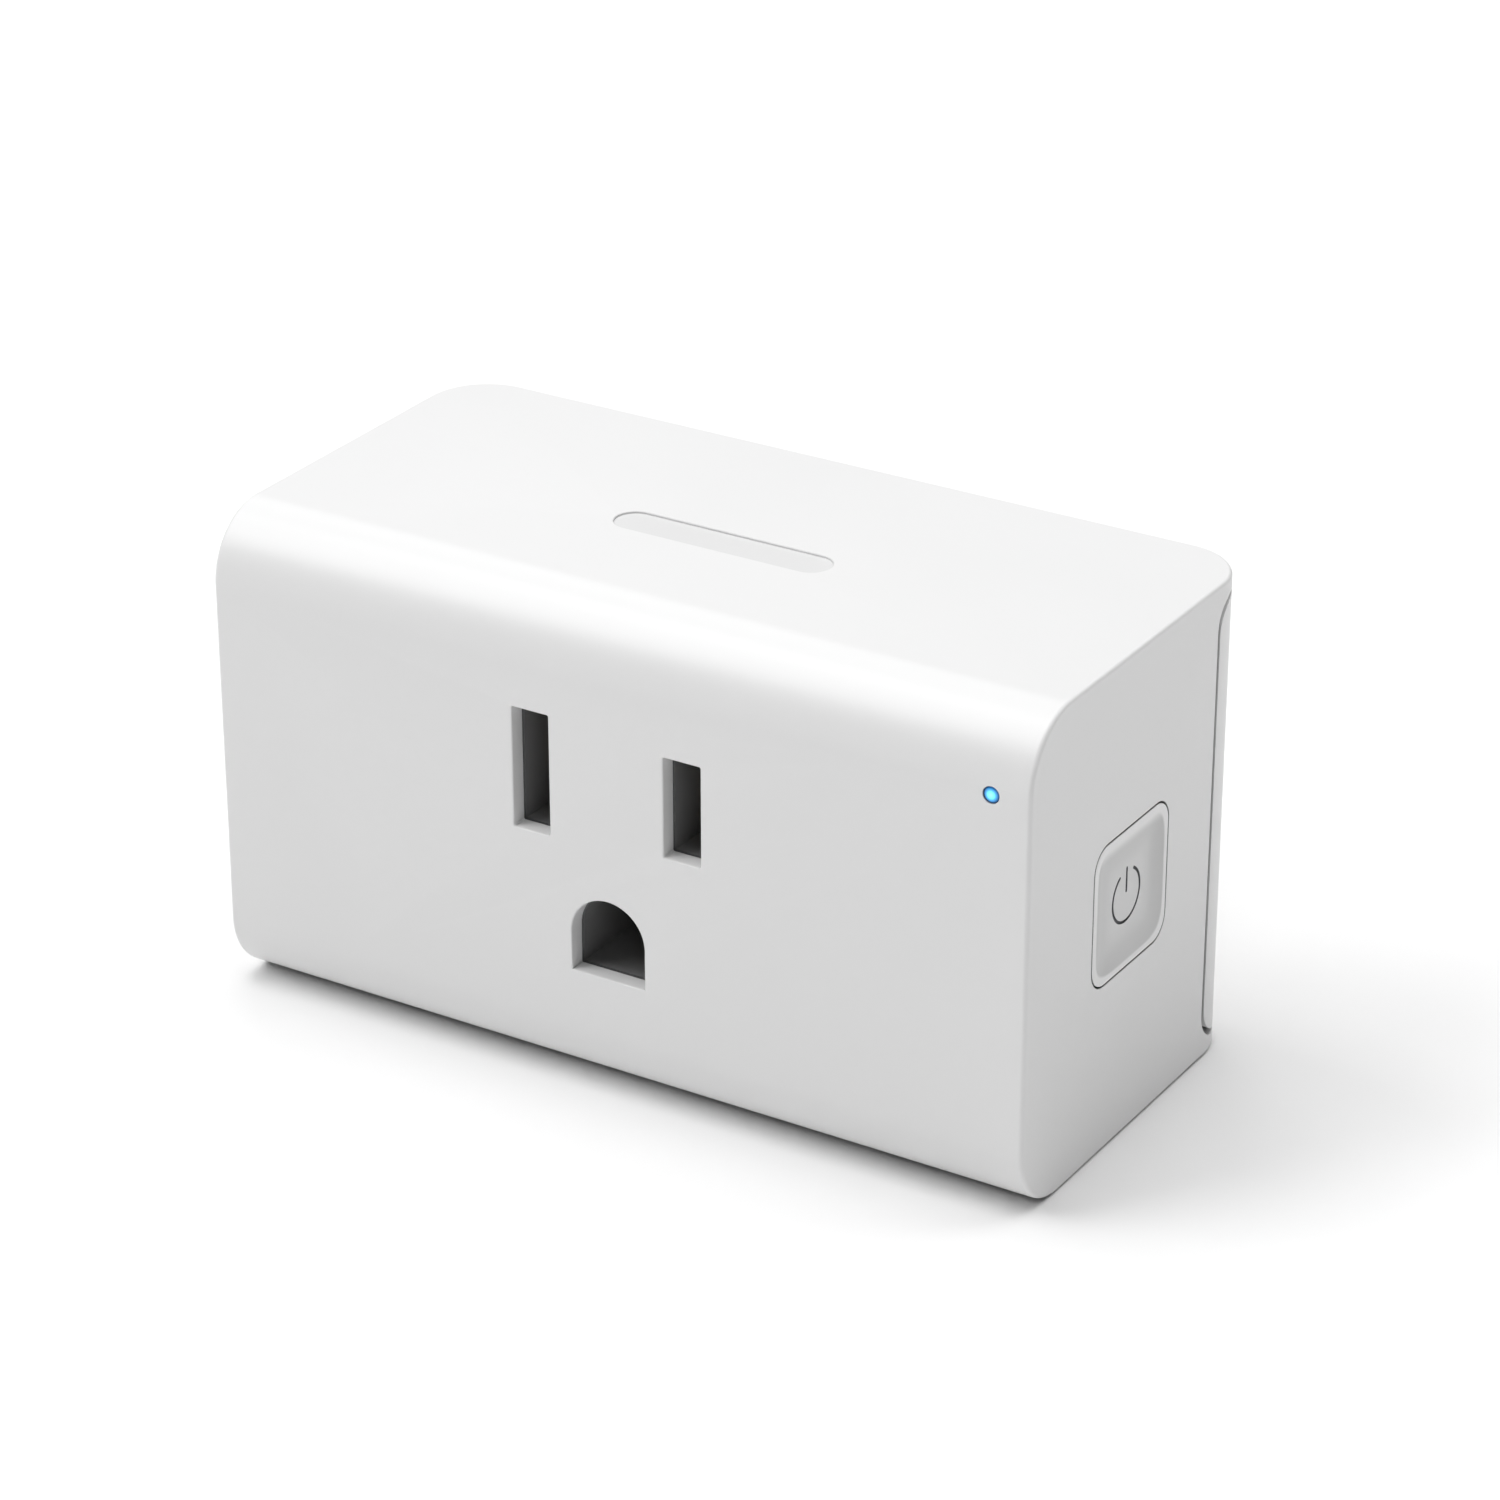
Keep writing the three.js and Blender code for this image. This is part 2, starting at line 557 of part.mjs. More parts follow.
function wifiShield() {
  const x = controlBoard.x - 0.8;
  return push('x', rounded([-6.2, 4.6], [5.8, 19.2], 0.8), [x - 1.9, x], 3);
}

function regulatorChip() {
  const base = box([controlBoard.x - 1.6, controlBoard.x - 0.1], [-8, -1.5], [23, 26.5]);
  const tabs = [-6.9, -4.75, -2.6].map((y) => box([controlBoard.x - 0.5, controlBoard.x], around(y, 0.8), [21.6, 23.5]));
  return join(base, ...tabs, box([controlBoard.x - 0.5, controlBoard.x], around(-4.75, 3), [26, 28]));
}

// A round electrolytic capacitor standing on the power board, with a rolled groove near its foot
function roundCapacitor(place, radius, length) {
  const foot = powerBoard.frontY;
  const top = foot - length;
  return turned(place, [
    [0, top], [radius - 0.4, top], [radius, top + 0.4], [radius, foot - 2.4], [radius - 0.35, foot - 2],
    [radius, foot - 1.6], [radius, foot - 0.3], [radius - 0.3, foot], [0, foot],
  ], 24);
}

function safetyCapacitor() {
  const outline = rounded([-30, -17], [10, 15.5], 0.5);
  return push('y', outline, [powerBoard.frontY - 11, powerBoard.frontY], 3);
}

function surgeVaristor() {
  const disc = rod('z', [-26.3, 1.4], 3.5, [16.4, 19.8], 24);
  const legs = [-28.2, -24.4].map((x) => box(around(x, 0.8), [2, powerBoard.frontY], around(18.1, 0.8)));
  return join(disc, ...legs);
}

// The resistor lies upright beside the board, with a leg bent back from each end
function fuseResistor() {
  const [x, y] = [-13, 3.2];
  const [bottomZ, topZ] = [6, 14.5];
  const legs = [[bottomZ - 0.8, bottomZ + 0.5], [topZ - 0.5, topZ + 0.8]].flatMap(([low, high], index) => {
    const bendZ = index === 0 ? low : high - 0.6;
    return [
      box(around(x, 0.6), around(y, 0.6), [low, high]),
      box(around(x, 0.6), [y - 0.3, powerBoard.frontY], [bendZ, bendZ + 0.6]),
    ];
  });
  return join(rod('z', [x, y], 1.75, [bottomZ, topZ], 16), ...legs);
}

function filterInductor() {
  const foot = powerBoard.frontY;
  return turned([-19.6, 6.6], [
    [0, foot - 8], [2.7, foot - 8], [2.7, foot - 7], [2, foot - 6.6], [2, foot - 1.4], [2.7, foot - 1],
    [2.7, foot], [0, foot],
  ], 20);
}

function rectifier() {
  const body = box([-22.6, -18.9], [powerBoard.frontY - 2.5, powerBoard.frontY - 0.2], [16.6, 20.8]);
  const legs = [17.4, 20].flatMap((z) => [
    box([-23.6, -22.4], [powerBoard.frontY - 0.5, powerBoard.frontY], around(z, 0.7)),
    box([-19.1, -18.3], [powerBoard.frontY - 0.5, powerBoard.frontY], around(z, 0.7)),
  ]);
  return join(body, ...legs);
}

function converterChip() {
  const back = powerBoardBackY;
  const body = box([-20, -15], [back + 0.1, back + 1.6], [18, 22]);
  const legs = [0, 1, 2, 3].flatMap((index) => {
    const x = -19.4 + index * 1.27;
    return [[17, 18.2], [21.8, 23]].map((z) => box(around(x, 0.45), [back, back + 0.6], z));
  });
  return join(body, ...legs);
}

// ---------- Relay ----------

function relayBase() {
  const { minX, maxX, minZ, maxZ } = relay;
  const plate = box([minX, maxX], [relayBaseY, powerBoard.frontY], [minZ, maxZ]);
  const through = [relayBaseY - 1, powerBoard.frontY + 1];
  return cut(plate, ...relayPinPlaces.map(([x, z]) => box(around(x, 2.8), through, around(z, 3))));
}

function relayCase() {
  const { minX, maxX, minZ, maxZ, frontY: front, caseWall } = relay;
  const outside = box([minX, maxX], [front, relayBaseY], [minZ, maxZ]);
  const inside = box([minX + caseWall, maxX - caseWall], [front + caseWall, relayBaseY + 1], [
    minZ + caseWall, maxZ - caseWall,
  ]);
  return cut(outside, inside);
}

function relayBobbin() {
  const { y, bottomZ, topZ, flange, flangeThickness, core } = coil;
  const flanges = [[bottomZ - flangeThickness, bottomZ], [topZ, topZ + flangeThickness]].map((z) => (
    box(around(relayX, flange), [y - flange / 2, yoke.legY - 0.3], z)
  ));
  const sleeve = rod('z', [relayX, y], core + 0.7, [bottomZ - 0.5, topZ + 0.5], 20);
  const bore = rod('z', [relayX, y], core + 0.1, [bottomZ - 2, topZ + 2], 20);
  return cut(join(sleeve, ...flanges), bore);
}

function relayCoil() {
  const { y, radius, bottomZ, topZ, core } = coil;
  const winding = rod('z', [relayX, y], radius, [bottomZ + 0.1, topZ - 0.1], 28);
  return cut(winding, rod('z', [relayX, y], core + 0.8, [bottomZ - 1, topZ + 1], 20));
}

// The iron circuit: a foot under the coil, a leg beside it, and the core that runs up through it
function relayYoke() {
  const { width, thickness, footZ, legY, tipZ, poleZ } = yoke;
  const footBottom = coil.bottomZ - coil.flangeThickness - 0.6;
  return join(
    box(around(relayX, width), [coil.y - 3, legY + thickness], [footZ - 0.2, footBottom + 0.5]),
    box(around(relayX, width), [legY, legY + thickness], [footZ - 0.2, tipZ]),
    rod('z', [relayX, coil.y], coil.core, [footZ, poleZ], 20),
  );
}

// The armature lies across the pole and the leg, and lifts the moving contact with its upright arm
function relayArmature() {
  const width = yoke.width;
  const plate = box(around(relayX, width), [-8, hinge.y + 0.6], [hinge.z, hinge.z + 1]);
  const arm = box(around(relayX, 3.6), [hinge.y, hinge.y + 0.5], [hinge.z + 0.5, relayContact.z + 1.2]);
  const contact = rod('y', [relayX, relayContact.z], relayContact.radius, [hinge.y - 0.4, hinge.y + 0.2], 14);
  return join(plate, arm, contact);
}

function relayFixedContact() {
  const topZ = relay.maxZ - relay.caseWall - 0.3;
  return join(
    box(around(relayX, 2.4), [-0.5, powerBoardBackY + 0.8], [topZ - 0.5, topZ]),
    box(around(relayX, 2.4), [-0.5, 0], [24.9, topZ]),
    rod('y', [relayX, relayContact.z], relayContact.radius, [-0.3, hinge.y - 0.4 - relayContact.opening], 14),
  );
}

function relayCommonTerminal() {
  const [x, z] = relayPinPlaces[1];
  return join(
    box(around(x, 0.6), [2.6, powerBoardBackY + 0.8], around(z, 2.2)),
    box(around(x, 3), [2.6, 3.1], [z - 1.1, 20]),
  );
}

// ---------- Screws ----------

// A cross-head screw along Y: the shaft runs forward from the face of the head's seat
function screw([x, z], seatY, { shaft, head, headHeight, length }) {
  const topY = seatY + headHeight;
  const body = turned([x, z], [
    [0, seatY - length], [shaft, seatY - length + 1.5], [shaft, seatY], [head, seatY],
    [head, topY - 0.5], [head * 0.72, topY], [0, topY],
  ], 20);
  const slotDepth = [topY - headHeight * 0.6, topY + 1];
  const armLength = head * 1.1;
  return cut(
    body,
    box(around(x, armLength), slotDepth, around(z, head * 0.24)),
    box(around(x, head * 0.24), slotDepth, around(z, armLength)),
  );
}

// ---------- Assembly ----------

addPart('front_shell', frontShell(), finishes.casing);
addPart('back_cover', backCover(), finishes.casing);
addPart('power_button', powerButton(), finishes.button);
addPart('light_pipe', lightPipe(), finishes.lens);

addPart('receptacle_block', receptacleBlock(), finishes.contactPlastic);
addPart('contact_retainer', contactRetainer(), finishes.contactPlastic);
addPart('neutral_contact', neutralContact(), finishes.brass);
addPart('line_contact', lineContact(), finishes.brass);
addPart('ground_contact', groundContact(), finishes.brass);
addPart('ground_strap', groundStrap(), finishes.brass);
addPart('neutral_blade', plugBlade(-1, 8.6), finishes.nickel);
addPart('line_blade', plugBlade(1, 5.2), finishes.nickel);
addPart('ground_pin', earthPin(), finishes.nickel);

addPart('power_board', powerBoardPlate(), finishes.board);
addPart('control_board', controlBoardPlate(), finishes.board);
addPart('board_header', boardHeader(), finishes.blackPlastic);
addPart('wifi_module_board', wifiBoard(), finishes.moduleBoard);
addPart('wifi_shield_can', wifiShield(), finishes.steel);
addPart('regulator_chip', regulatorChip(), finishes.blackPlastic);
addPart('indicator_led', indicatorLed(), finishes.lens);

addPart('switch_body', switchBody(), finishes.blackPlastic);
addPart('switch_dome', switchDome(), finishes.steel);
addPart('switch_cover', switchCover(), finishes.steel);
addPart('switch_plunger', switchPlunger(), finishes.blackPlastic);

addPart('relay_base', relayBase(), finishes.blackPlastic);
addPart('relay_case', relayCase(), finishes.relayPlastic);
addPart('relay_bobbin', relayBobbin(), finishes.blackPlastic);
addPart('relay_coil', relayCoil(), finishes.copper);
addPart('relay_yoke', relayYoke(), finishes.steel);
addPart('relay_armature', relayArmature(), finishes.steel);
addPart('relay_fixed_contact', relayFixedContact(), finishes.copper);
addPart('relay_common_terminal', relayCommonTerminal(), finishes.copper);

addPart('input_capacitor', roundCapacitor([-15.4, 29], 4, 12), finishes.aluminium);
addPart('filter_capacitor', roundCapacitor([-24.4, 25.2], 4, 12), finishes.aluminium);
addPart('output_capacitor', roundCapacitor([-14.6, 20.6], 3.15, 9), finishes.aluminium);
addPart('safety_capacitor', safetyCapacitor(), finishes.capacitorFilm);
addPart('surge_varistor', surgeVaristor(), finishes.varistor);
addPart('fuse_resistor', fuseResistor(), finishes.ceramic);
addPart('filter_inductor', filterInductor(), finishes.ferrite);
addPart('rectifier', rectifier(), finishes.blackPlastic);
addPart('converter_chip', converterChip(), finishes.blackPlastic);

cornerScrews.forEach((place, index) => {
  addPart(`cover_screw_${index + 1}`, screw(place, coverScrew.seatY, coverScrew), finishes.steel);
});
[retainerScrew.lowZ, retainerScrew.highZ].forEach((z, index) => {
  const seatY = retainer.frontY + retainer.thickness;
  addPart(`retainer_screw_${index + 1}`, screw([0, z], seatY, retainerScrew), finishes.steel);
});

export default group;
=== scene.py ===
# %% [markdown]
# # A smart plug, from its outside skin to the metal inside its slots
# A smart plug is a small white box with a mains socket in front and blades behind. Its engineering model
# comes in as a fixed frame: every place and size below is read from it, and it is never moved. Blender
# adds what the eye judges: rounded edges that catch light, plastic that is slightly grained, metal that
# has been stamped and plated.

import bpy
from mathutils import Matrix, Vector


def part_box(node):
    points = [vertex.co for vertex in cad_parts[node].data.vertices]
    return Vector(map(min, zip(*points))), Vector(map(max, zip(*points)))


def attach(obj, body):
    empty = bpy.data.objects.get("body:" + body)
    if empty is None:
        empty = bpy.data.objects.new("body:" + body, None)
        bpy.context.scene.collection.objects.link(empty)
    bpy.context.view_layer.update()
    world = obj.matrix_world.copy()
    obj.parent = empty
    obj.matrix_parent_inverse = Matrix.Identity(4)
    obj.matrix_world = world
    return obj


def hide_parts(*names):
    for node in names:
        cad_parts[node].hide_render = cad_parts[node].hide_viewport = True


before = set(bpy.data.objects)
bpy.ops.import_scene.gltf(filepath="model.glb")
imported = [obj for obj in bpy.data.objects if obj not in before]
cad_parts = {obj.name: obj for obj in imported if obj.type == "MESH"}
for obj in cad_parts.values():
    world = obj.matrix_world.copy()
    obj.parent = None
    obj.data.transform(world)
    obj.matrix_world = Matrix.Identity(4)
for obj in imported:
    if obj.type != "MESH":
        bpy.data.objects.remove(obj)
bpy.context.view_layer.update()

# %% Tools of the trade
import math

import bmesh
import bpy
from mathutils import Matrix, Vector

MM = 0.001


def box_mm(node):
    """The lowest and highest corners of a node of the frame, in millimetres."""
    low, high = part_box(node)
    return Vector(low) / MM, Vector(high) / MM


# %% [markdown]
# ## Outlines and lofts
# Nearly every moulded part is an outline pushed along a line, with edges that are never quite sharp.
# Modelling in millimetres and shrinking to metres at the end keeps the numbers readable and keeps
# Blender's bevels and cuts away from their smallest tolerances. A loft, a skin drawn through rings of
# points, gives full control over each rounded lip, which a bevel on a cut edge often doesn't.

# %% Outlines
def arc(centre, radius, start, end, steps):
    """Points along an arc, both ends included; angles in degrees."""
    points = []
    for step in range(steps + 1):
        angle = math.radians(start + (end - start) * step / steps)
        points.append((centre[0] + radius * math.cos(angle), centre[1] + radius * math.sin(angle)))
    return points


def rounded_outline(u, v, radii, steps=8):
    """A rectangle from u[0] to u[1] and v[0] to v[1], with a radius for each corner from the lower left."""
    if not isinstance(radii, (list, tuple)):
        radii = (radii,) * 4
    r0, r1, r2, r3 = radii
    return (
        arc((u[0] + r0, v[0] + r0), r0, 180, 270, steps)
        + arc((u[1] - r1, v[0] + r1), r1, 270, 360, steps)
        + arc((u[1] - r2, v[1] - r2), r2, 0, 90, steps)
        + arc((u[0] + r3, v[1] - r3), r3, 90, 180, steps)
    )


def on_plane(outline, axis, depth):
    """Stands a flat outline on the plane across an axis: (y, z) for x, (x, z) for y, (x, y) for z."""
    if axis == "x":
        return [(depth, u, v) for u, v in outline]
    if axis == "y":
        return [(u, depth, v) for u, v in outline]
    return [(u, v, depth) for u, v in outline]


def around(centre, size):
    """The two ends of a length that lies about a centre."""
    return (centre - size / 2, centre + size / 2)


# %% Lofts
def loft(name, rings):
    """A closed mesh drawn through rings of the same number of points, with a cap on each end."""
    mesh = bpy.data.meshes.new(name)
    bm = bmesh.new()
    rows = [[bm.verts.new(point) for point in ring] for ring in rings]
    count = len(rows[0])
    for near, far in zip(rows, rows[1:]):
        for i in range(count):
            j = (i + 1) % count
            bm.faces.new((near[i], near[j], far[j], far[i]))
    bm.faces.new(list(reversed(rows[0])))
    bm.faces.new(rows[-1])
    bmesh.ops.remove_doubles(bm, verts=bm.verts, dist=1e-5)
    bmesh.ops.recalc_face_normals(bm, faces=bm.faces)
    bm.to_mesh(mesh)
    bm.free()
    piece = bpy.data.objects.new(name, mesh)
    bpy.context.collection.objects.link(piece)
    return piece


def pushed(name, outline, axis, start, end):
    """An outline pushed straight along an axis."""
    return loft(name, [on_plane(outline, axis, start), on_plane(outline, axis, end)])


# %% Cuts
def settle(piece):
    """Applies the piece's modifiers, so that its mesh is what is seen."""
    evaluated = piece.evaluated_get(bpy.context.evaluated_depsgraph_get())
    mesh = bpy.data.meshes.new_from_object(evaluated)
    piece.modifiers.clear()
    old = piece.data
    piece.data = mesh
    bpy.data.meshes.remove(old)
    return piece


def cut(piece, tool, operation="DIFFERENCE"):
    """Cuts a tool out of a piece, joins it on, or keeps what they share. The tool is used up."""
    modifier = piece.modifiers.new("Cut", "BOOLEAN")
    modifier.operation = operation
    modifier.solver = "EXACT"
    modifier.material_mode = "TRANSFER"
    modifier.object = tool
    settle(piece)
    bpy.data.objects.remove(tool)
    return piece


# %% The return to metres
def coat(piece, material):
    """Gives every face of a piece one material; cutters that come later may bring their own."""
    piece.data.materials.clear()
    piece.data.materials.append(material)
    for face in piece.data.polygons:
        face.material_index = 0


SMOOTH_UP_TO = math.radians(32)


def finish_piece(piece, body, nodes, material=None):
    """Shrinks a piece to metres, smooths its shading, and hands it to the frame."""
    for vertex in piece.data.vertices:
        vertex.co *= MM
    if material is not None:
        coat(piece, material)
    piece.data.shade_smooth()
    piece.data.set_sharp_from_angle(angle=SMOOTH_UP_TO)
    weighted = piece.modifiers.new("Face-weighted shading", "WEIGHTED_NORMAL")
    weighted.keep_sharp = True
    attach(piece, body)
    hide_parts(*nodes)
    print(piece.name, "has", len(piece.data.polygons), "faces and stands for", ", ".join(nodes))


# %% [markdown]
# ## The camera
# The plug stands on its underside and is seen from its front right, a little from above, through a long
# lens, so its upright edges stay nearly parallel.

# %% Camera
CAMERA_PLACE = Vector((0.17341, -0.27835, 0.18093))
CAMERA_FORWARD = Vector((-0.47179, 0.76532, -0.43783))
CAMERA_UP = Vector((-0.22882, 0.37328, 0.89906))
LENS_MM = 119.37
SENSOR_MM = 36
camera_data = bpy.data.cameras.new("Camera")
camera_data.lens = LENS_MM
camera_data.sensor_width = SENSOR_MM
camera = bpy.data.objects.new("Camera", camera_data)
bpy.context.collection.objects.link(camera)
camera.location = CAMERA_PLACE
camera_right = CAMERA_FORWARD.cross(CAMERA_UP).normalized()
camera_axes = (camera_right, camera_right.cross(CAMERA_FORWARD).normalized(), -CAMERA_FORWARD.normalized())
camera.rotation_mode = "QUATERNION"
camera.rotation_quaternion = Matrix(camera_axes).transposed().to_quaternion()
bpy.context.scene.camera = camera
print("camera lens", camera_data.lens, "mm")

# %% [markdown]
# ## Shared effects
# Five effects serve the materials: the faint grain that a mould leaves in plastic, the soft smudges of
# handling, edges rubbed a little brighter, the drawn streaks of rolled metal, and the shade that gathers
# in a seam. Each is a node group with named inputs, built once and given its own values in each material.
# The groups put out only masks and heights, so the shader of each material stays in plain sight.

# %% Node group helpers
def new_group(name, inputs, outputs):
    """A shader node group with float sockets: inputs maps a name to its usual value."""
    group = bpy.data.node_groups.new(name, "ShaderNodeTree")
    for socket_name, value in inputs.items():
        socket = group.interface.new_socket(socket_name, in_out="INPUT", socket_type="NodeSocketFloat")
        socket.default_value = value
    for socket_name in outputs:
        group.interface.new_socket(socket_name, in_out="OUTPUT", socket_type="NodeSocketFloat")
    return group, group.nodes.new("NodeGroupInput"), group.nodes.new("NodeGroupOutput")


def add_node(tree, kind, links=None, **settings):
    """A node with its settings made; links maps each of its inputs to a socket or to a plain value."""
    node = tree.nodes.new(kind)
    for key, value in settings.items():
        setattr(node, key, value)
    for key, source in (links or {}).items():
        if isinstance(source, bpy.types.NodeSocket):
            tree.links.new(source, node.inputs[key])
        else:
            node.inputs[key].default_value = source
    return node


def object_place(tree):
    """Where a point of the piece is, in metres in the frame."""
    return add_node(tree, "ShaderNodeTexCoord").outputs["Object"]


# %% Group: moulded grain
WAVE_SHARE = 0.35


def build_moulded_grain():
    """Fine pits from the mould's texture on slow waves of shrinkage; sizes are in pits per metre."""
    group, inside, outside = new_group("Moulded grain", {"Fineness": 9000.0, "Waves": 90.0}, ("Height",))
    place = object_place(group)
    fine = add_node(group, "ShaderNodeTexNoise", {"Vector": place, "Scale": inside.outputs["Fineness"],
                                                  "Detail": 2.0, "Roughness": 0.55})
    slow = add_node(group, "ShaderNodeTexNoise", {"Vector": place, "Scale": inside.outputs["Waves"],
                                                  "Detail": 1.0})
    slow_part = add_node(group, "ShaderNodeMath", {0: slow.outputs["Fac"], 1: WAVE_SHARE},
                         operation="MULTIPLY")
    total = add_node(group, "ShaderNodeMath", {0: fine.outputs["Fac"], 1: slow_part.outputs[0]},
                     operation="ADD")
    group.links.new(total.outputs[0], outside.inputs["Height"])
    return group


# %% Group: handling smudges
def build_smudges():
    """A mask of soft blotches, from 0 to 1, that moves roughness and colour a little."""
    group, inside, outside = new_group("Handling smudges", {"Scale": 60.0, "Contrast": 1.0}, ("Mask",))
    place = object_place(group)
    blotch = add_node(group, "ShaderNodeTexNoise", {"Vector": place, "Scale": inside.outputs["Scale"],
                                                    "Detail": 4.0, "Distortion": 0.6})
    centred = add_node(group, "ShaderNodeMath", {0: blotch.outputs["Fac"], 1: 0.5}, operation="SUBTRACT")
    stretched = add_node(group, "ShaderNodeMath", {0: centred.outputs[0], 1: inside.outputs["Contrast"]},
                         operation="MULTIPLY")
    shifted = add_node(group, "ShaderNodeMath", {0: stretched.outputs[0], 1: 0.5}, operation="ADD")
    shifted.use_clamp = True
    group.links.new(shifted.outputs[0], outside.inputs["Mask"])
    return group


# %% Group: rubbed edges
def build_rubbed_edges():
    """A mask that is 1 on convex edges and 0 elsewhere, broken up so that it isn't an outline."""
    group, inside, outside = new_group("Rubbed edges", {"Start": 0.52, "Width": 0.08, "Breakup": 900.0},
                                       ("Mask",))
    geometry = add_node(group, "ShaderNodeNewGeometry")
    breakup = add_node(group, "ShaderNodeTexNoise", {"Vector": object_place(group),
                                                     "Scale": inside.outputs["Breakup"], "Detail": 3.0})
    end = add_node(group, "ShaderNodeMath", {0: inside.outputs["Start"], 1: inside.outputs["Width"]},
                   operation="ADD")
    edge = add_node(group, "ShaderNodeMapRange", {"Value": geometry.outputs["Pointiness"],
                                                  "From Min": inside.outputs["Start"],
                                                  "From Max": end.outputs[0]})
    broken = add_node(group, "ShaderNodeMath", {0: edge.outputs["Result"], 1: breakup.outputs["Fac"]},
                      operation="MULTIPLY")
    group.links.new(broken.outputs[0], outside.inputs["Mask"])
    return group


# %% Group: drawn metal
CLOUDS_PER_METRE = 260.0


def build_drawn_metal():
    """Streaks that run along Y, as rolling and stamping leave them."""
    group, inside, outside = new_group("Drawn metal", {"Fineness": 6000.0, "Stretch": 40.0},
                                       ("Height", "Mask"))
    stretch = add_node(group, "ShaderNodeCombineXYZ", {"X": 1.0, "Z": 1.0})
    shrink = add_node(group, "ShaderNodeMath", {0: 1.0, 1: inside.outputs["Stretch"]}, operation="DIVIDE")
    group.links.new(shrink.outputs[0], stretch.inputs["Y"])
    place = add_node(group, "ShaderNodeVectorMath", {0: object_place(group), 1: stretch.outputs[0]},
                     operation="MULTIPLY")
    streak = add_node(group, "ShaderNodeTexNoise", {"Vector": place.outputs[0],
                                                    "Scale": inside.outputs["Fineness"], "Detail": 3.0})
    cloud = add_node(group, "ShaderNodeTexNoise", {"Vector": object_place(group), "Scale": CLOUDS_PER_METRE,
                                                   "Detail": 5.0})
    group.links.new(streak.outputs["Fac"], outside.inputs["Height"])
    group.links.new(cloud.outputs["Fac"], outside.inputs["Mask"])
    return group


# %% Group: shade in crevices
STILL_OPEN, FULLY_SHADED = 0.7, 0.2


def build_crevices():
    """A mask that is 1 deep in a seam or a gap, where light hardly reaches; it paints shade into the colour.
    """
    group, inside, outside = new_group("Shade in crevices", {"Reach": 0.0006}, ("Mask",))
    openness = add_node(group, "ShaderNodeAmbientOcclusion", {"Distance": inside.outputs["Reach"]},
                        samples=8)
    crevice = add_node(group, "ShaderNodeMapRange", {"Value": openness.outputs["AO"], "From Min": STILL_OPEN,
                                                     "From Max": FULLY_SHADED})
    group.links.new(crevice.outputs["Result"], outside.inputs["Mask"])
    return group


# %% Build the groups
moulded_grain = build_moulded_grain()
smudges = build_smudges()
rubbed_edges = build_rubbed_edges()
drawn_metal = build_drawn_metal()
crevices = build_crevices()
print("shared effects:", ", ".join(group.name for group in bpy.data.node_groups))

# %% [markdown]
# ## Finishes
# A finish is a Principled shader whose colour and roughness move between two close values, with a bump
# from one of the shared effects. The two values are kept near each other: on a new moulded part the
# variation should be felt rather than seen.

# %% Finish helpers
def place_group(tree, group, **values):
    """A shared effect placed in a material, with its own values; an underscore stands for a space."""
    node = add_node(tree, "ShaderNodeGroup")
    node.node_tree = group
    for key, value in values.items():
        node.inputs[key.replace("_", " ")].default_value = value
    return node


def mixed_colour(tree, mask, first, second):
    """A colour between two, by a mask; either may be a plain colour or another socket."""
    mix = add_node(tree, "ShaderNodeMix", data_type="RGBA")
    tree.links.new(mask, mix.inputs[0])
    for place, colour in ((6, first), (7, second)):
        if isinstance(colour, bpy.types.NodeSocket):
            tree.links.new(colour, mix.inputs[place])
        else:
            mix.inputs[place].default_value = (*colour, 1)
    return mix.outputs[2]


def ranged(tree, mask, low, high):
    """A mask from 0 to 1 moved to run from low to high."""
    spread = add_node(tree, "ShaderNodeMapRange", {"Value": mask, "To Min": low, "To Max": high})
    return spread.outputs["Result"]


def fill_ramp(ramp, stops):
    """Puts stops, each a position and a colour, into a ramp; each is placed as it is made."""
    while len(ramp.elements) > 1:
        ramp.elements.remove(ramp.elements[-1])
    ramp.elements[0].position = stops[0][0]
    ramp.elements[0].color = (*stops[0][1], 1)
    for position, colour in stops[1:]:
        ramp.elements.new(position).color = (*colour, 1)


def new_finish(name, metallic=0.0, specular=0.5):
    """A material, its node tree and its Principled shader."""
    material = bpy.data.materials.new(name)
    material.use_nodes = True
    shader = material.node_tree.nodes["Principled BSDF"]
    shader.inputs["Metallic"].default_value = metallic
    shader.inputs["Specular IOR Level"].default_value = specular
    return material, material.node_tree, shader


def add_bump(tree, shader, height, depth_mm):
    """Relief too fine to model: height runs from 0 to 1 over a depth in millimetres."""
    bump = add_node(tree, "ShaderNodeBump", {"Height": height, "Strength": 1.0, "Distance": depth_mm * MM})
    tree.links.new(bump.outputs["Normal"], shader.inputs["Normal"])


# %% [markdown]
# ### Moulded plastics
# The casing is a satin white plastic, and most parts inside are plastic too. A flat colour would look
# like paper. Here the colour drifts a little in smudges and on rubbed edges, the gloss drifts with it, and
# a very shallow grain breaks up the highlights. Where two parts meet, painted shade darkens the gap.

# %% Finish: moulded plastics
SMUDGES_PER_METRE = 45.0
SMUDGE_CONTRAST = 1.4
SMUDGE_SHARE = 0.35
PLASTIC_GLOSS_DRIFT = (0.04, 0.05)


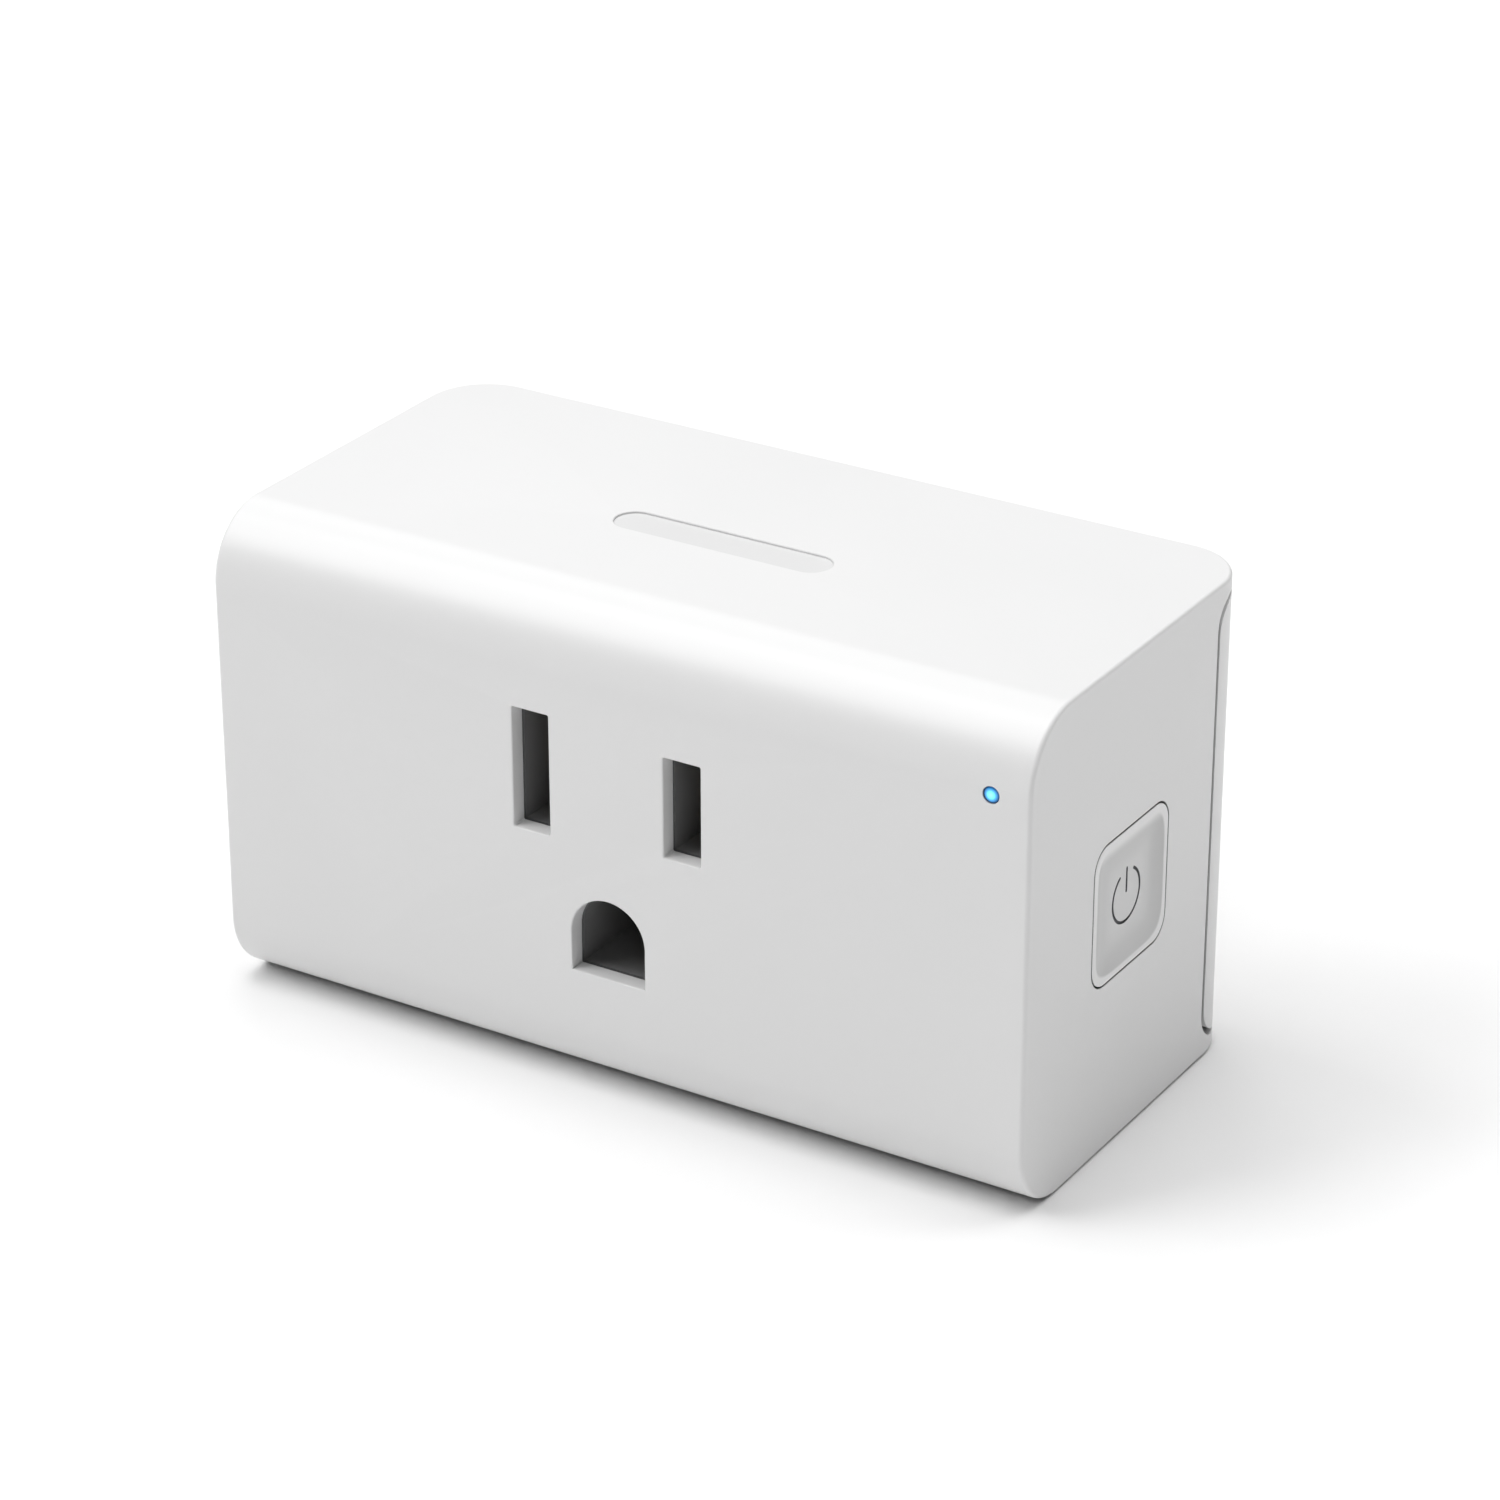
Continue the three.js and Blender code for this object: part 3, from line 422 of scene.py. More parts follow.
def plastic(name, colour, worn, roughness, grain_depth=0.004, fineness=9000.0, painted_crevice_shade=None, toned=None):
    """A moulded plastic: its colour drifts towards worn where it is handled, and to painted shade in
    crevices.

    toned, if given, makes a socket of painted shade and light that takes the place of the plain colour,
    rubbed places included.
    """
    material, tree, shader = new_finish(name)
    smudge = place_group(tree, smudges, Scale=SMUDGES_PER_METRE, Contrast=SMUDGE_CONTRAST)
    grain = place_group(tree, moulded_grain, Fineness=fineness)
    blotch = add_node(tree, "ShaderNodeMath", {0: smudge.outputs["Mask"], 1: SMUDGE_SHARE},
                      operation="MULTIPLY")
    if toned:
        skin = mixed_colour(tree, blotch.outputs[0], toned(tree), worn)
    else:
        edge = place_group(tree, rubbed_edges)
        both = add_node(tree, "ShaderNodeMath", {0: blotch.outputs[0], 1: edge.outputs["Mask"]},
                        operation="ADD")
        both.use_clamp = True
        skin = mixed_colour(tree, both.outputs[0], colour, worn)
    # Painted shade: deep in a seam or a gap the colour turns towards the shade colour.
    if painted_crevice_shade is not None:
        skin = mixed_colour(tree, place_group(tree, crevices).outputs["Mask"], skin, painted_crevice_shade)
    tree.links.new(skin, shader.inputs["Base Color"])
    less, more = PLASTIC_GLOSS_DRIFT
    tree.links.new(ranged(tree, smudge.outputs["Mask"], roughness - less, roughness + more),
                   shader.inputs["Roughness"])
    add_bump(tree, shader, grain.outputs["Height"], grain_depth)
    return material


# The colour of the painted shade deep in seams and gaps.
SEAM_PAINTED_SHADE = (0.10, 0.10, 0.10)
casing_white = plastic("Satin white casing", (0.80, 0.80, 0.80), (0.815, 0.815, 0.815), 0.36, 0.0012,
                       painted_crevice_shade=SEAM_PAINTED_SHADE)
nameplate_white = plastic("Frosted nameplate", (0.69, 0.69, 0.69), (0.71, 0.71, 0.71), 0.5, 0.004, 6000.0)
mark_grey = plastic("Grey fill of the power mark", (0.13, 0.13, 0.135), (0.16, 0.16, 0.165), 0.6, 0.003)
contact_grey = plastic("Dark grey contact block", (0.18, 0.18, 0.182), (0.20, 0.20, 0.202), 0.6, 0.006)
part_black = plastic("Black component plastic", (0.018, 0.018, 0.02), (0.05, 0.05, 0.052), 0.5, 0.008, 5000.0)
relay_blue = plastic("Blue relay case", (0.02, 0.075, 0.24), (0.05, 0.12, 0.3), 0.32, 0.005, 4000.0)
sleeve_black = plastic("Shrink sleeve", (0.025, 0.027, 0.035), (0.07, 0.07, 0.08), 0.28, 0.01, 1500.0)
film_yellow = plastic("Yellow film capacitor", (0.62, 0.38, 0.045), (0.7, 0.48, 0.1), 0.35, 0.01, 2200.0)
varistor_blue = plastic("Dipped blue epoxy", (0.02, 0.09, 0.32), (0.05, 0.14, 0.38), 0.4, 0.04, 900.0)
resistor_green = plastic("Cement coating", (0.13, 0.21, 0.1), (0.2, 0.27, 0.16), 0.7, 0.03, 3500.0)
print("moulded finishes ready")

# %% [markdown]
# ### Metals
# Blades are stamped from plated bar, contacts from sheet brass, and screws are zinc plated. All are bare
# metal, so one finish serves them: streaks along the rolling direction, and clouds where plating dulls.

# %% Finish: metals
METAL_GLOSS_DRIFT = (0.07, 0.1)


def metal(name, colour, dull, roughness, streak_depth=0.002, fineness=6000.0, stretch=40.0):
    """A drawn or plated metal that dulls in clouds and shines on its rubbed edges."""
    material, tree, shader = new_finish(name, metallic=1.0)
    streaks = place_group(tree, drawn_metal, Fineness=fineness, Stretch=stretch)
    edge = place_group(tree, rubbed_edges)
    bright = add_node(tree, "ShaderNodeMath", {0: streaks.outputs["Mask"], 1: edge.outputs["Mask"]},
                      operation="SUBTRACT")
    bright.use_clamp = True
    tree.links.new(mixed_colour(tree, bright.outputs[0], colour, dull), shader.inputs["Base Color"])
    less, more = METAL_GLOSS_DRIFT
    tree.links.new(ranged(tree, streaks.outputs["Height"], roughness - less, roughness + more),
                   shader.inputs["Roughness"])
    add_bump(tree, shader, streaks.outputs["Height"], streak_depth)
    return material


nickel = metal("Nickel-plated blade", (0.80, 0.78, 0.74), (0.66, 0.64, 0.60), 0.26)
brass = metal("Stamped brass", (0.83, 0.62, 0.30), (0.60, 0.42, 0.18), 0.30)
tinned_steel = metal("Tinned steel", (0.70, 0.71, 0.72), (0.52, 0.53, 0.54), 0.34, 0.002, 4000.0, 8.0)
copper = metal("Copper", (0.80, 0.38, 0.20), (0.56, 0.24, 0.12), 0.32)
screw_steel = metal("Zinc-plated screw", (0.62, 0.64, 0.66), (0.45, 0.46, 0.47), 0.3, 0.003, 5000.0, 3.0)
print("metal finishes ready")

# %% [markdown]
# ### Winding and boards
# The relay's coil is hundreds of turns of thin enamelled wire. Modelling them would cost far more than it
# shows, so bands round the coil's axis give their colour, their gloss and a small relief. The boards are
# coated glass fibre with copper tracks, which show through the coating in straight runs.

# %% Finish: the coil's winding
WIRE_BANDS = 1500.0
WIRE_ROUGHNESS = (0.42, 0.25)
WIRE_RELIEF = 0.06


def winding_finish():
    """Turns of enamelled wire round Z, one thread beside the other."""
    material, tree, shader = new_finish("Copper winding", metallic=1.0)
    turns = add_node(tree, "ShaderNodeTexWave", {"Vector": object_place(tree), "Scale": WIRE_BANDS,
                                                 "Distortion": 0.4, "Detail": 1.0},
                     wave_type="BANDS", bands_direction="Z", wave_profile="SIN")
    tree.links.new(mixed_colour(tree, turns.outputs["Fac"], (0.30, 0.09, 0.03), (0.72, 0.28, 0.11)),
                   shader.inputs["Base Color"])
    tree.links.new(ranged(tree, turns.outputs["Fac"], *WIRE_ROUGHNESS), shader.inputs["Roughness"])
    add_bump(tree, shader, turns.outputs["Fac"], WIRE_RELIEF)
    return material


winding = winding_finish()
print("winding ready")

# %% Finish: circuit boards
WEAVES_PER_METRE = 3000.0
PATCHES_PER_METRE = 190.0
TRACK_BANDS = 260.0
TRACK_FROM, TRACK_TO = 0.72, 0.80
BOARD_ROUGHNESS = (0.28, 0.45)
TRACK_RELIEF = 0.02


def board_finish(name, mask_colour, track_colour):
    """Coated glass fibre: straight copper tracks show as raised, lighter lines under the coating.

    The boards stand in XZ and in YZ, so X + Y runs along both of them. Square patches take turns between
    tracks that run along the board and tracks that run up it.
    """
    material, tree, shader = new_finish(name)
    weave = add_node(tree, "ShaderNodeTexNoise", {"Vector": object_place(tree), "Scale": WEAVES_PER_METRE,
                                                  "Detail": 2.0})
    place = add_node(tree, "ShaderNodeSeparateXYZ", {0: object_place(tree)})
    along = add_node(tree, "ShaderNodeMath", {0: place.outputs["X"], 1: place.outputs["Y"]},
                     operation="ADD")
    flat = add_node(tree, "ShaderNodeCombineXYZ", {"X": along.outputs[0], "Z": place.outputs["Z"]})
    patches = add_node(tree, "ShaderNodeTexVoronoi", {"Vector": flat.outputs[0], "Scale": PATCHES_PER_METRE},
                       distance="CHEBYCHEV")
    patch = add_node(tree, "ShaderNodeSeparateColor", {0: patches.outputs["Color"]})
    turned_up = add_node(tree, "ShaderNodeMath", {0: patch.outputs[0], 1: 0.5}, operation="GREATER_THAN")
    bands = [add_node(tree, "ShaderNodeTexWave", {"Vector": flat.outputs[0], "Scale": TRACK_BANDS},
                      wave_type="BANDS", bands_direction=way, wave_profile="SIN").outputs["Fac"]
             for way in ("X", "Z")]
    lines = add_node(tree, "ShaderNodeMix", {0: turned_up.outputs[0], 2: bands[0], 3: bands[1]},
                     data_type="FLOAT")
    track = add_node(tree, "ShaderNodeMapRange", {"Value": lines.outputs[0], "From Min": TRACK_FROM,
                                                  "From Max": TRACK_TO})
    tree.links.new(mixed_colour(tree, track.outputs["Result"], mask_colour, track_colour),
                   shader.inputs["Base Color"])
    tree.links.new(ranged(tree, weave.outputs["Fac"], *BOARD_ROUGHNESS), shader.inputs["Roughness"])
    height = add_node(tree, "ShaderNodeMath", {0: track.outputs["Result"], 1: weave.outputs["Fac"]},
                      operation="ADD")
    add_bump(tree, shader, height.outputs[0], TRACK_RELIEF)
    return material


board_green = board_finish("Green circuit board", (0.012, 0.11, 0.045), (0.03, 0.2, 0.08))
module_blue = board_finish("Blue module board", (0.008, 0.03, 0.11), (0.02, 0.06, 0.2))
print("board finishes ready")

# %% [markdown]
# ### The lit lens
# The indicator is a clear tip with a blue lamp behind it. A lamp inside real clear plastic would be slow
# and noisy to render, so the tip itself glows, by its distance from its own middle.

# %% Finish: the lit lens
LENS_RADIUS = 0.6
LENS_GLOW = ((0.0, (0.26, 0.95, 1.0)), (0.35, (0.16, 0.72, 0.98)), (0.68, (0.045, 0.27, 0.58)),
             (0.88, (0.012, 0.09, 0.24)), (1.0, (0.006, 0.05, 0.14)))
LENS_BRIGHTNESS = 0.85
LENS_ROUGHNESS = 0.12


def lit_lens_finish(centre):
    """A lamp seen through a clear tip: almost white blue in the middle, deep blue at the rim."""
    material, tree, shader = new_finish("Lit blue lens")
    place = add_node(tree, "ShaderNodeVectorMath", {0: object_place(tree), 1: centre * MM},
                     operation="SUBTRACT")
    flat = add_node(tree, "ShaderNodeVectorMath", {0: place.outputs[0], 1: (1.0, 0.0, 1.0)},
                    operation="MULTIPLY")
    distance = add_node(tree, "ShaderNodeVectorMath", {0: flat.outputs[0]}, operation="LENGTH")
    share = add_node(tree, "ShaderNodeMath", {0: distance.outputs["Value"], 1: LENS_RADIUS * MM},
                     operation="DIVIDE")
    glow = add_node(tree, "ShaderNodeValToRGB", {"Fac": share.outputs[0]})
    fill_ramp(glow.color_ramp, LENS_GLOW)
    tree.links.new(glow.outputs["Color"], shader.inputs["Emission Color"])
    tree.links.new(glow.outputs["Color"], shader.inputs["Base Color"])
    shader.inputs["Emission Strength"].default_value = LENS_BRIGHTNESS
    shader.inputs["Roughness"].default_value = LENS_ROUGHNESS
    return material


lamp_low, lamp_high = box_mm("light_pipe")
lamp_centre = Vector(((lamp_low.x + lamp_high.x) / 2, lamp_low.y, (lamp_low.z + lamp_high.z) / 2))
lit_lens = lit_lens_finish(lamp_centre)
print("lens is lit at", [round(value, 2) for value in lamp_centre], "mm")

# %% [markdown]
# ## The casing
# The casing is one soft brick: its two front edges are rounded along their whole length, and its two
# rear upright corners are rounded in plan. Crossing two pushed outlines gives that form exactly, and one
# small bevel then softens every edge that is left sharp. Only after that is the brick split into a
# shell and a cover, so that both share one continuous outer surface.

# %% The sizes of the casing
shell_low, shell_high = box_mm("front_shell")
LEFT, RIGHT = shell_low.x, shell_high.x
FRONT, BACK = shell_low.y, shell_high.y
TOP = shell_high.z
FRONT_RADIUS = 5.4
CORNER_RADIUS = 4.9
EDGE = 0.35
EDGE_STEPS = 5
CLEAR = 1
WALL = 2.0
SOCKET_WALL = 1.35
SEAM_Y = 11.0
SEAM_GAP = 0.36
RIM = 1.4
SEAM_RADIUS = 2.4
COVER_INSIDE_Y = 14.3
print("casing", round(RIGHT - LEFT, 2), "x", round(BACK - FRONT, 2), "x", round(TOP, 2), "mm")


# %% The whole brick
def casing_brick(name):
    """The outer form of the whole plug, before it is split."""
    profile = rounded_outline((FRONT, BACK), (0, TOP), (FRONT_RADIUS, 0, 0, FRONT_RADIUS), 20)
    plan = rounded_outline((LEFT, RIGHT), (FRONT, BACK), (0, 0, CORNER_RADIUS, CORNER_RADIUS), 16)
    brick = pushed(name, profile, "x", LEFT, RIGHT)
    cut(brick, pushed("Plan", plan, "z", -CLEAR, TOP + CLEAR), "INTERSECT")
    softened = brick.modifiers.new("Soft edges", "BEVEL")
    softened.width = EDGE
    softened.segments = EDGE_STEPS
    softened.limit_method = "ANGLE"
    softened.angle_limit = math.radians(50)
    softened.use_clamp_overlap = False
    return settle(brick)


def cover_room(growth):
    """The space of the rear cover, grown or shrunk by half of the seam."""
    outline = rounded_outline((SEAM_Y - growth, BACK + 5), (RIM - growth, TOP - RIM + growth),
                              (SEAM_RADIUS, 0, 0, SEAM_RADIUS), 10)
    return pushed("Cover room", outline, "x", LEFT - CLEAR, RIGHT + CLEAR)


# %% [markdown]
# ## Holes with lips
# A hole in a moulded wall never starts at a knife edge: the mould leaves a small round. The cutter for
# each hole is therefore a loft that flares at its mouth along a quarter circle, so the cut itself leaves
# the rounded lip behind.

# %% Flared cutters
LIP_STEPS = 5


def flared_cutter(name, outline_at, axis, face, depth, lip, outward):
    """A cutter through a flat face. outline_at(growth) gives its outline; outward is +1 or -1."""
    rings = [on_plane(outline_at(lip), axis, face + outward * 2 * CLEAR)]
    for step in range(LIP_STEPS + 1):
        sink = lip * step / LIP_STEPS
        growth = lip - math.sqrt(max(lip ** 2 - (lip - sink) ** 2, 0))
        rings.append(on_plane(outline_at(growth), axis, face - outward * sink))
    rings.append(on_plane(outline_at(0), axis, face - outward * depth))
    return loft(name, rings)


def rounded_hole(centre, size, radius, steps=5):
    """Outlines of a rounded rectangle of that size about a centre, for any growth."""
    def outline_at(growth):
        return rounded_outline(around(centre[0], size[0] + 2 * growth),
                               around(centre[1], size[1] + 2 * growth), radius + growth, steps)
    return outline_at


def round_hole(centre, radius, steps=32):
    """Outlines of a circle about a centre, for any growth."""
    def outline_at(growth):
        return arc(centre, radius + growth, 0, 360 - 360 / steps, steps - 1)
    return outline_at


def turned(name, centre, profile, sides=32):
    """A solid of revolution along Y, from (radius, y) pairs."""
    return loft(name, [on_plane(round_hole(centre, radius, sides)(0), "y", y) for radius, y in profile])


# %% The socket's outlines
neutral_low, neutral_high = box_mm("neutral_blade")
line_low, line_high = box_mm("line_blade")
pin_low, pin_high = box_mm("ground_pin")
BLADE_Z = (neutral_low.z + neutral_high.z) / 2
NEUTRAL_X = (neutral_low.x + neutral_high.x) / 2
LINE_X = (line_low.x + line_high.x) / 2
EARTH_Z = (pin_low.z + pin_high.z) / 2
SLOT_WIDTH = 3.1
NEUTRAL_SLOT_HEIGHT = 9.5
LINE_SLOT_HEIGHT = 7.85
EARTH_RADIUS = 3.1
EARTH_FLAT = 3.15
SLOT_LIP = 0.14
SLOT_CORNER = 0.12


def earth_hole(growth):
    """A round top on straight sides and a flat floor."""
    radius = EARTH_RADIUS + growth
    floor = EARTH_Z - EARTH_FLAT - growth
    return [(-radius, floor), (radius, floor)] + arc((0, EARTH_Z), radius, 0, 180, 32)


socket_outlines = {
    "Neutral slot": rounded_hole((NEUTRAL_X, BLADE_Z), (SLOT_WIDTH, NEUTRAL_SLOT_HEIGHT), SLOT_CORNER, 3),
    "Line slot": rounded_hole((LINE_X, BLADE_Z), (SLOT_WIDTH, LINE_SLOT_HEIGHT), SLOT_CORNER, 3),
    "Earth hole": earth_hole,
}
print("blades stand", round(LINE_X - NEUTRAL_X, 2), "mm apart, the earth hole",
      round(BLADE_Z - EARTH_Z, 2), "mm below them")

# %% [markdown]
# ## The shell
# The shell is the brick without the cover's room and without its inside. Four bosses for the screws
# stand in its corners, tied to the walls by ribs, as they are in any moulded box.

# %% The inside of the shell
screws = [f"cover_screw_{number}" for number in range(1, 5)]
screw_places = []
for screw in screws:
    low, high = box_mm(screw)
    screw_places.append(((low.x + high.x) / 2, (low.z + high.z) / 2))
BOSS_RADIUS = 2.3
BOSS_FRONT = -4.0
BOSS_BACK = 10.6
RIB_BACK = 8.2
RIB_WIDTH = 1.2
SCREW_HOLE = 1.3
PILOT_FRONT = 1
print("screws stand at", [(round(x, 2), round(z, 2)) for x, z in screw_places], "mm")


def ordered(a, b):
    return (min(a, b), max(a, b))


def block_between(name, x, y, z):
    """A plain block from the lowest to the highest x, y and z."""
    return pushed(name, [(x[0], y[0]), (x[1], y[0]), (x[1], y[1]), (x[0], y[1])], "z", z[0], z[1])


def add_boss(shell, place):
    """A screw's boss, two ribs that tie it to the walls, and its pilot hole."""
    x, z = place
    length = (BOSS_FRONT, RIB_BACK)
    wall_x = (RIGHT if x > 0 else LEFT) - math.copysign(WALL / 2, x)
    wall_z = TOP - WALL / 2 if z > TOP / 2 else WALL / 2
    cut(shell, block_between("Rib", ordered(x, wall_x), length, around(z, RIB_WIDTH)), "UNION")
    cut(shell, block_between("Rib", around(x, RIB_WIDTH), length, ordered(z, wall_z)), "UNION")
    cut(shell, pushed("Boss", round_hole(place, BOSS_RADIUS)(0), "y", BOSS_FRONT, BOSS_BACK), "UNION")
    cut(shell, pushed("Pilot", round_hole(place, SCREW_HOLE)(0), "y", PILOT_FRONT, BOSS_BACK + CLEAR))


# %% Build the shell
NAMEPLATE = {"width": 18.0, "height": 3.2, "y": -0.8, "depth": 0.16, "lip": 0.08}
BARELY = 0.01
button_low, button_high = box_mm("power_button")
BUTTON_Y = (button_low.y + button_high.y) / 2
BUTTON_Z = (button_low.z + button_high.z) / 2
BUTTON_SIZE = 10.94
BUTTON_RADIUS = 1.8
BUTTON_GAP = 0.15
BUTTON_LIP = 0.05
POCKET_GAP = 0.5
GUIDES = {"x": ((22.7, 23.7), (25.3, 26.3)), "y": (-12, 5), "z": ((WALL / 2, 4.6), (33.6, TOP - WALL / 2))}
LAMP_HOLE = {"gap": 0.05, "lip": 0.06, "seat_radius": 0.9, "seat_depth": 1}
CUT_THROUGH = 3


def build_shell():
    """The front shell: hollowed, with its bosses and guides, and then with every hole in its skin."""
    shell = casing_brick("Casing_shell")
    cut(shell, cover_room(SEAM_GAP / 2))
    inner = FRONT_RADIUS - WALL
    cavity = rounded_outline((FRONT + WALL, BACK + CLEAR), (WALL, TOP - WALL), (inner, 0, 0, inner), 8)
    cut(shell, pushed("Cavity", cavity, "x", LEFT + WALL, RIGHT - WALL))
    block_low, block_high = box_mm("receptacle_block")
    cut(shell, block_between("Pocket", (block_low.x - POCKET_GAP, block_high.x + POCKET_GAP),
                             (FRONT + SOCKET_WALL, FRONT + WALL + POCKET_GAP),
                             (block_low.z - POCKET_GAP, block_high.z + POCKET_GAP)))
    for place in screw_places:
        add_boss(shell, place)
    for x in GUIDES["x"]:
        for z in GUIDES["z"]:
            cut(shell, block_between("Board guide", x, GUIDES["y"], z), "UNION")
    for name, outline_at in socket_outlines.items():
        cut(shell, flared_cutter(name, outline_at, "y", FRONT, CUT_THROUGH, SLOT_LIP, -1))
    lamp = round_hole((lamp_centre.x, lamp_centre.z), LENS_RADIUS + LAMP_HOLE["gap"])
    cut(shell, flared_cutter("Lamp hole", lamp, "y", FRONT, CUT_THROUGH, LAMP_HOLE["lip"], -1))
    seat = round_hole((lamp_centre.x, lamp_centre.z), LAMP_HOLE["seat_radius"])(0)
    cut(shell, pushed("Lamp seat", seat, "y", FRONT + LAMP_HOLE["seat_depth"], FRONT + CUT_THROUGH))
    button_hole = rounded_hole((BUTTON_Y, BUTTON_Z), (BUTTON_SIZE + 2 * BUTTON_GAP,) * 2,
                               BUTTON_RADIUS + BUTTON_GAP, 10)
    cut(shell, flared_cutter("Button hole", button_hole, "x", RIGHT, WALL + CLEAR, BUTTON_LIP, 1))
    plate = rounded_hole((0, NAMEPLATE["y"]), (NAMEPLATE["width"], NAMEPLATE["height"]),
                         NAMEPLATE["height"] / 2 - BARELY, 12)
    plate_cutter = flared_cutter("Nameplate", plate, "z", TOP, NAMEPLATE["depth"], NAMEPLATE["lip"], 1)
    plate_cutter.data.materials.append(nameplate_white)
    coat(shell, casing_white)
    cut(shell, plate_cutter)
    finish_piece(shell, "housing", ["front_shell"])


build_shell()

# %% [markdown]
# ## The rear cover
# The cover is a shallow tray. Its ends wrap round the rounded rear corners, which is why its seam shows
# on the ends of the plug and not on the top. A tongue behind each seam keeps light and fingers out.

# %% Build the cover
TRAY_WALL = 1.4
END_WALL = 3.4
TONGUE = {"thickness": 1.1, "front": 8.5, "z": (3.1, 35.1)}
PLUG_FIT = 0.12
BLADE_HEIGHT = 6.35
PIN_RADIUS = 2.375
PIN_SIDES = 48
SCREW_SEAT = {"radius": 3.5, "bore": 2.45, "bore_depth": 3, "lip": 0.2, "gap": 0.3}
PLUG_HOLE = {"corner": 0.1, "depth": 4, "lip": 0.1}


def build_cover():
    """The rear cover: a tray with tongues, screw seats, and close holes for the blades and the pin."""
    cover = casing_brick("Rear_cover")
    cut(cover, cover_room(-SEAM_GAP / 2), "INTERSECT")
    cut(cover, block_between("Inside", (LEFT + END_WALL, RIGHT - END_WALL), (0, COVER_INSIDE_Y),
                             (RIM + TRAY_WALL, TOP - RIM - TRAY_WALL)))
    for side in (-1, 1):
        inner = side * (RIGHT - END_WALL)
        tongue_x = ordered(inner, inner + side * TONGUE["thickness"])
        cut(cover, block_between("Tongue", tongue_x, (TONGUE["front"], SEAM_Y + CLEAR), TONGUE["z"]),
            "UNION")
    for place in screw_places:
        seat = round_hole(place, SCREW_SEAT["radius"])(0)
        cut(cover, pushed("Seat", seat, "y", BOSS_BACK + SCREW_SEAT["gap"], COVER_INSIDE_Y + CLEAR), "UNION")
    for place in screw_places:
        shaft = round_hole(place, SCREW_HOLE)(0)
        cut(cover, pushed("Shaft hole", shaft, "y", BOSS_BACK - CLEAR, BACK + CLEAR))
        cut(cover, flared_cutter("Counterbore", round_hole(place, SCREW_SEAT["bore"]), "y", BACK,
                                 SCREW_SEAT["bore_depth"], SCREW_SEAT["lip"], 1))
    for low, high in ((neutral_low, neutral_high), (line_low, line_high)):
        half_thickness = (high.x - low.x) / 2 + PLUG_FIT
        centre_x = (low.x + high.x) / 2
        blade_slot = rounded_hole((centre_x, BLADE_Z), (2 * half_thickness, BLADE_HEIGHT + 2 * PLUG_FIT),
                                  PLUG_HOLE["corner"], 2)
        cut(cover, flared_cutter("Blade slot", blade_slot, "y", BACK, PLUG_HOLE["depth"],
                                 PLUG_HOLE["lip"], 1))
    pin_hole = round_hole((0, EARTH_Z), PIN_RADIUS + PLUG_FIT, PIN_SIDES)
    cut(cover, flared_cutter("Pin hole", pin_hole, "y", BACK, PLUG_HOLE["depth"], PLUG_HOLE["lip"], 1))
    finish_piece(cover, "housing", ["back_cover"], casing_white)


build_cover()

# %% [markdown]
# ## The power button
# The button is a soft square that fills its hole to a hair's gap. Its rim is flush with the casing and
# its face sinks into a dish that tells a thumb where to press. The dish is a loft of shrinking squares
# whose depth follows a straight slope with a soft knee. A flange behind the casing's wall keeps the button
# in, and a post reaches to the switch. The power mark is cut into the floor with its own grey fill.

# %% The dish
RIM_WIDTH = 0.44
DISH_DEPTH = 0.35
SLOPE_WIDTH = 1.45
KNEE = 0.45
DISH_STEPS = 14
CORNER_SHRINK = 0.25
BUTTON_SIDE_STEPS = 10
SKIRT_DEPTH = 0.6
FLANGE = {"wider": 2.4, "back": 1.3, "front": 0.3}
POST_RADIUS = 1.6


def dish_depth(inward):
    """Depth at a distance inward from the rim: a straight slope that bends softly into a flat floor."""
    steepness = DISH_DEPTH / SLOPE_WIDTH
    if inward <= SLOPE_WIDTH - KNEE:
        return steepness * inward
    if inward >= SLOPE_WIDTH + KNEE:
        return DISH_DEPTH
    return steepness * (inward - (inward - SLOPE_WIDTH + KNEE) ** 2 / (4 * KNEE))


def build_button():
    """The cap, from the back of its skirt over its rounded lip and down into its dish."""
    centre = (BUTTON_Y, BUTTON_Z)
    square = rounded_hole(centre, (BUTTON_SIZE, BUTTON_SIZE), BUTTON_RADIUS, BUTTON_SIDE_STEPS)
    rings = [on_plane(square(0), "x", RIGHT - WALL - SKIRT_DEPTH)]
    for step in range(LIP_STEPS):
        angle = math.radians(90 * step / (LIP_STEPS - 1))
        shrink = BUTTON_LIP * (1 - math.cos(angle))
        rings.append(on_plane(square(-shrink), "x", RIGHT - BUTTON_LIP * (1 - math.sin(angle))))
    rim = BUTTON_LIP + RIM_WIDTH
    reach = SLOPE_WIDTH + KNEE
    for step in range(DISH_STEPS + 1):
        inward = reach * step / DISH_STEPS
        size = BUTTON_SIZE - 2 * (rim + inward)
        radius = BUTTON_RADIUS - rim - CORNER_SHRINK * inward
        outline = rounded_outline(around(BUTTON_Y, size), around(BUTTON_Z, size), radius, BUTTON_SIDE_STEPS)
        rings.append(on_plane(outline, "x", RIGHT - dish_depth(inward)))
    button = loft("Power_button_cap", rings)
    wall_inside = RIGHT - WALL
    flange = rounded_hole(centre, (BUTTON_SIZE + FLANGE["wider"],) * 2, BUTTON_RADIUS, 6)(0)
    cut(button, pushed("Flange", flange, "x", wall_inside - FLANGE["back"], wall_inside - FLANGE["front"]),
        "UNION")
    post = round_hole(centre, POST_RADIUS, 24)(0)
    cut(button, pushed("Post", post, "x", button_low.x, wall_inside - CLEAR), "UNION")
    return button


power_button = build_button()
print("the dish is", DISH_DEPTH, "mm deep and its slope", SLOPE_WIDTH, "mm wide")
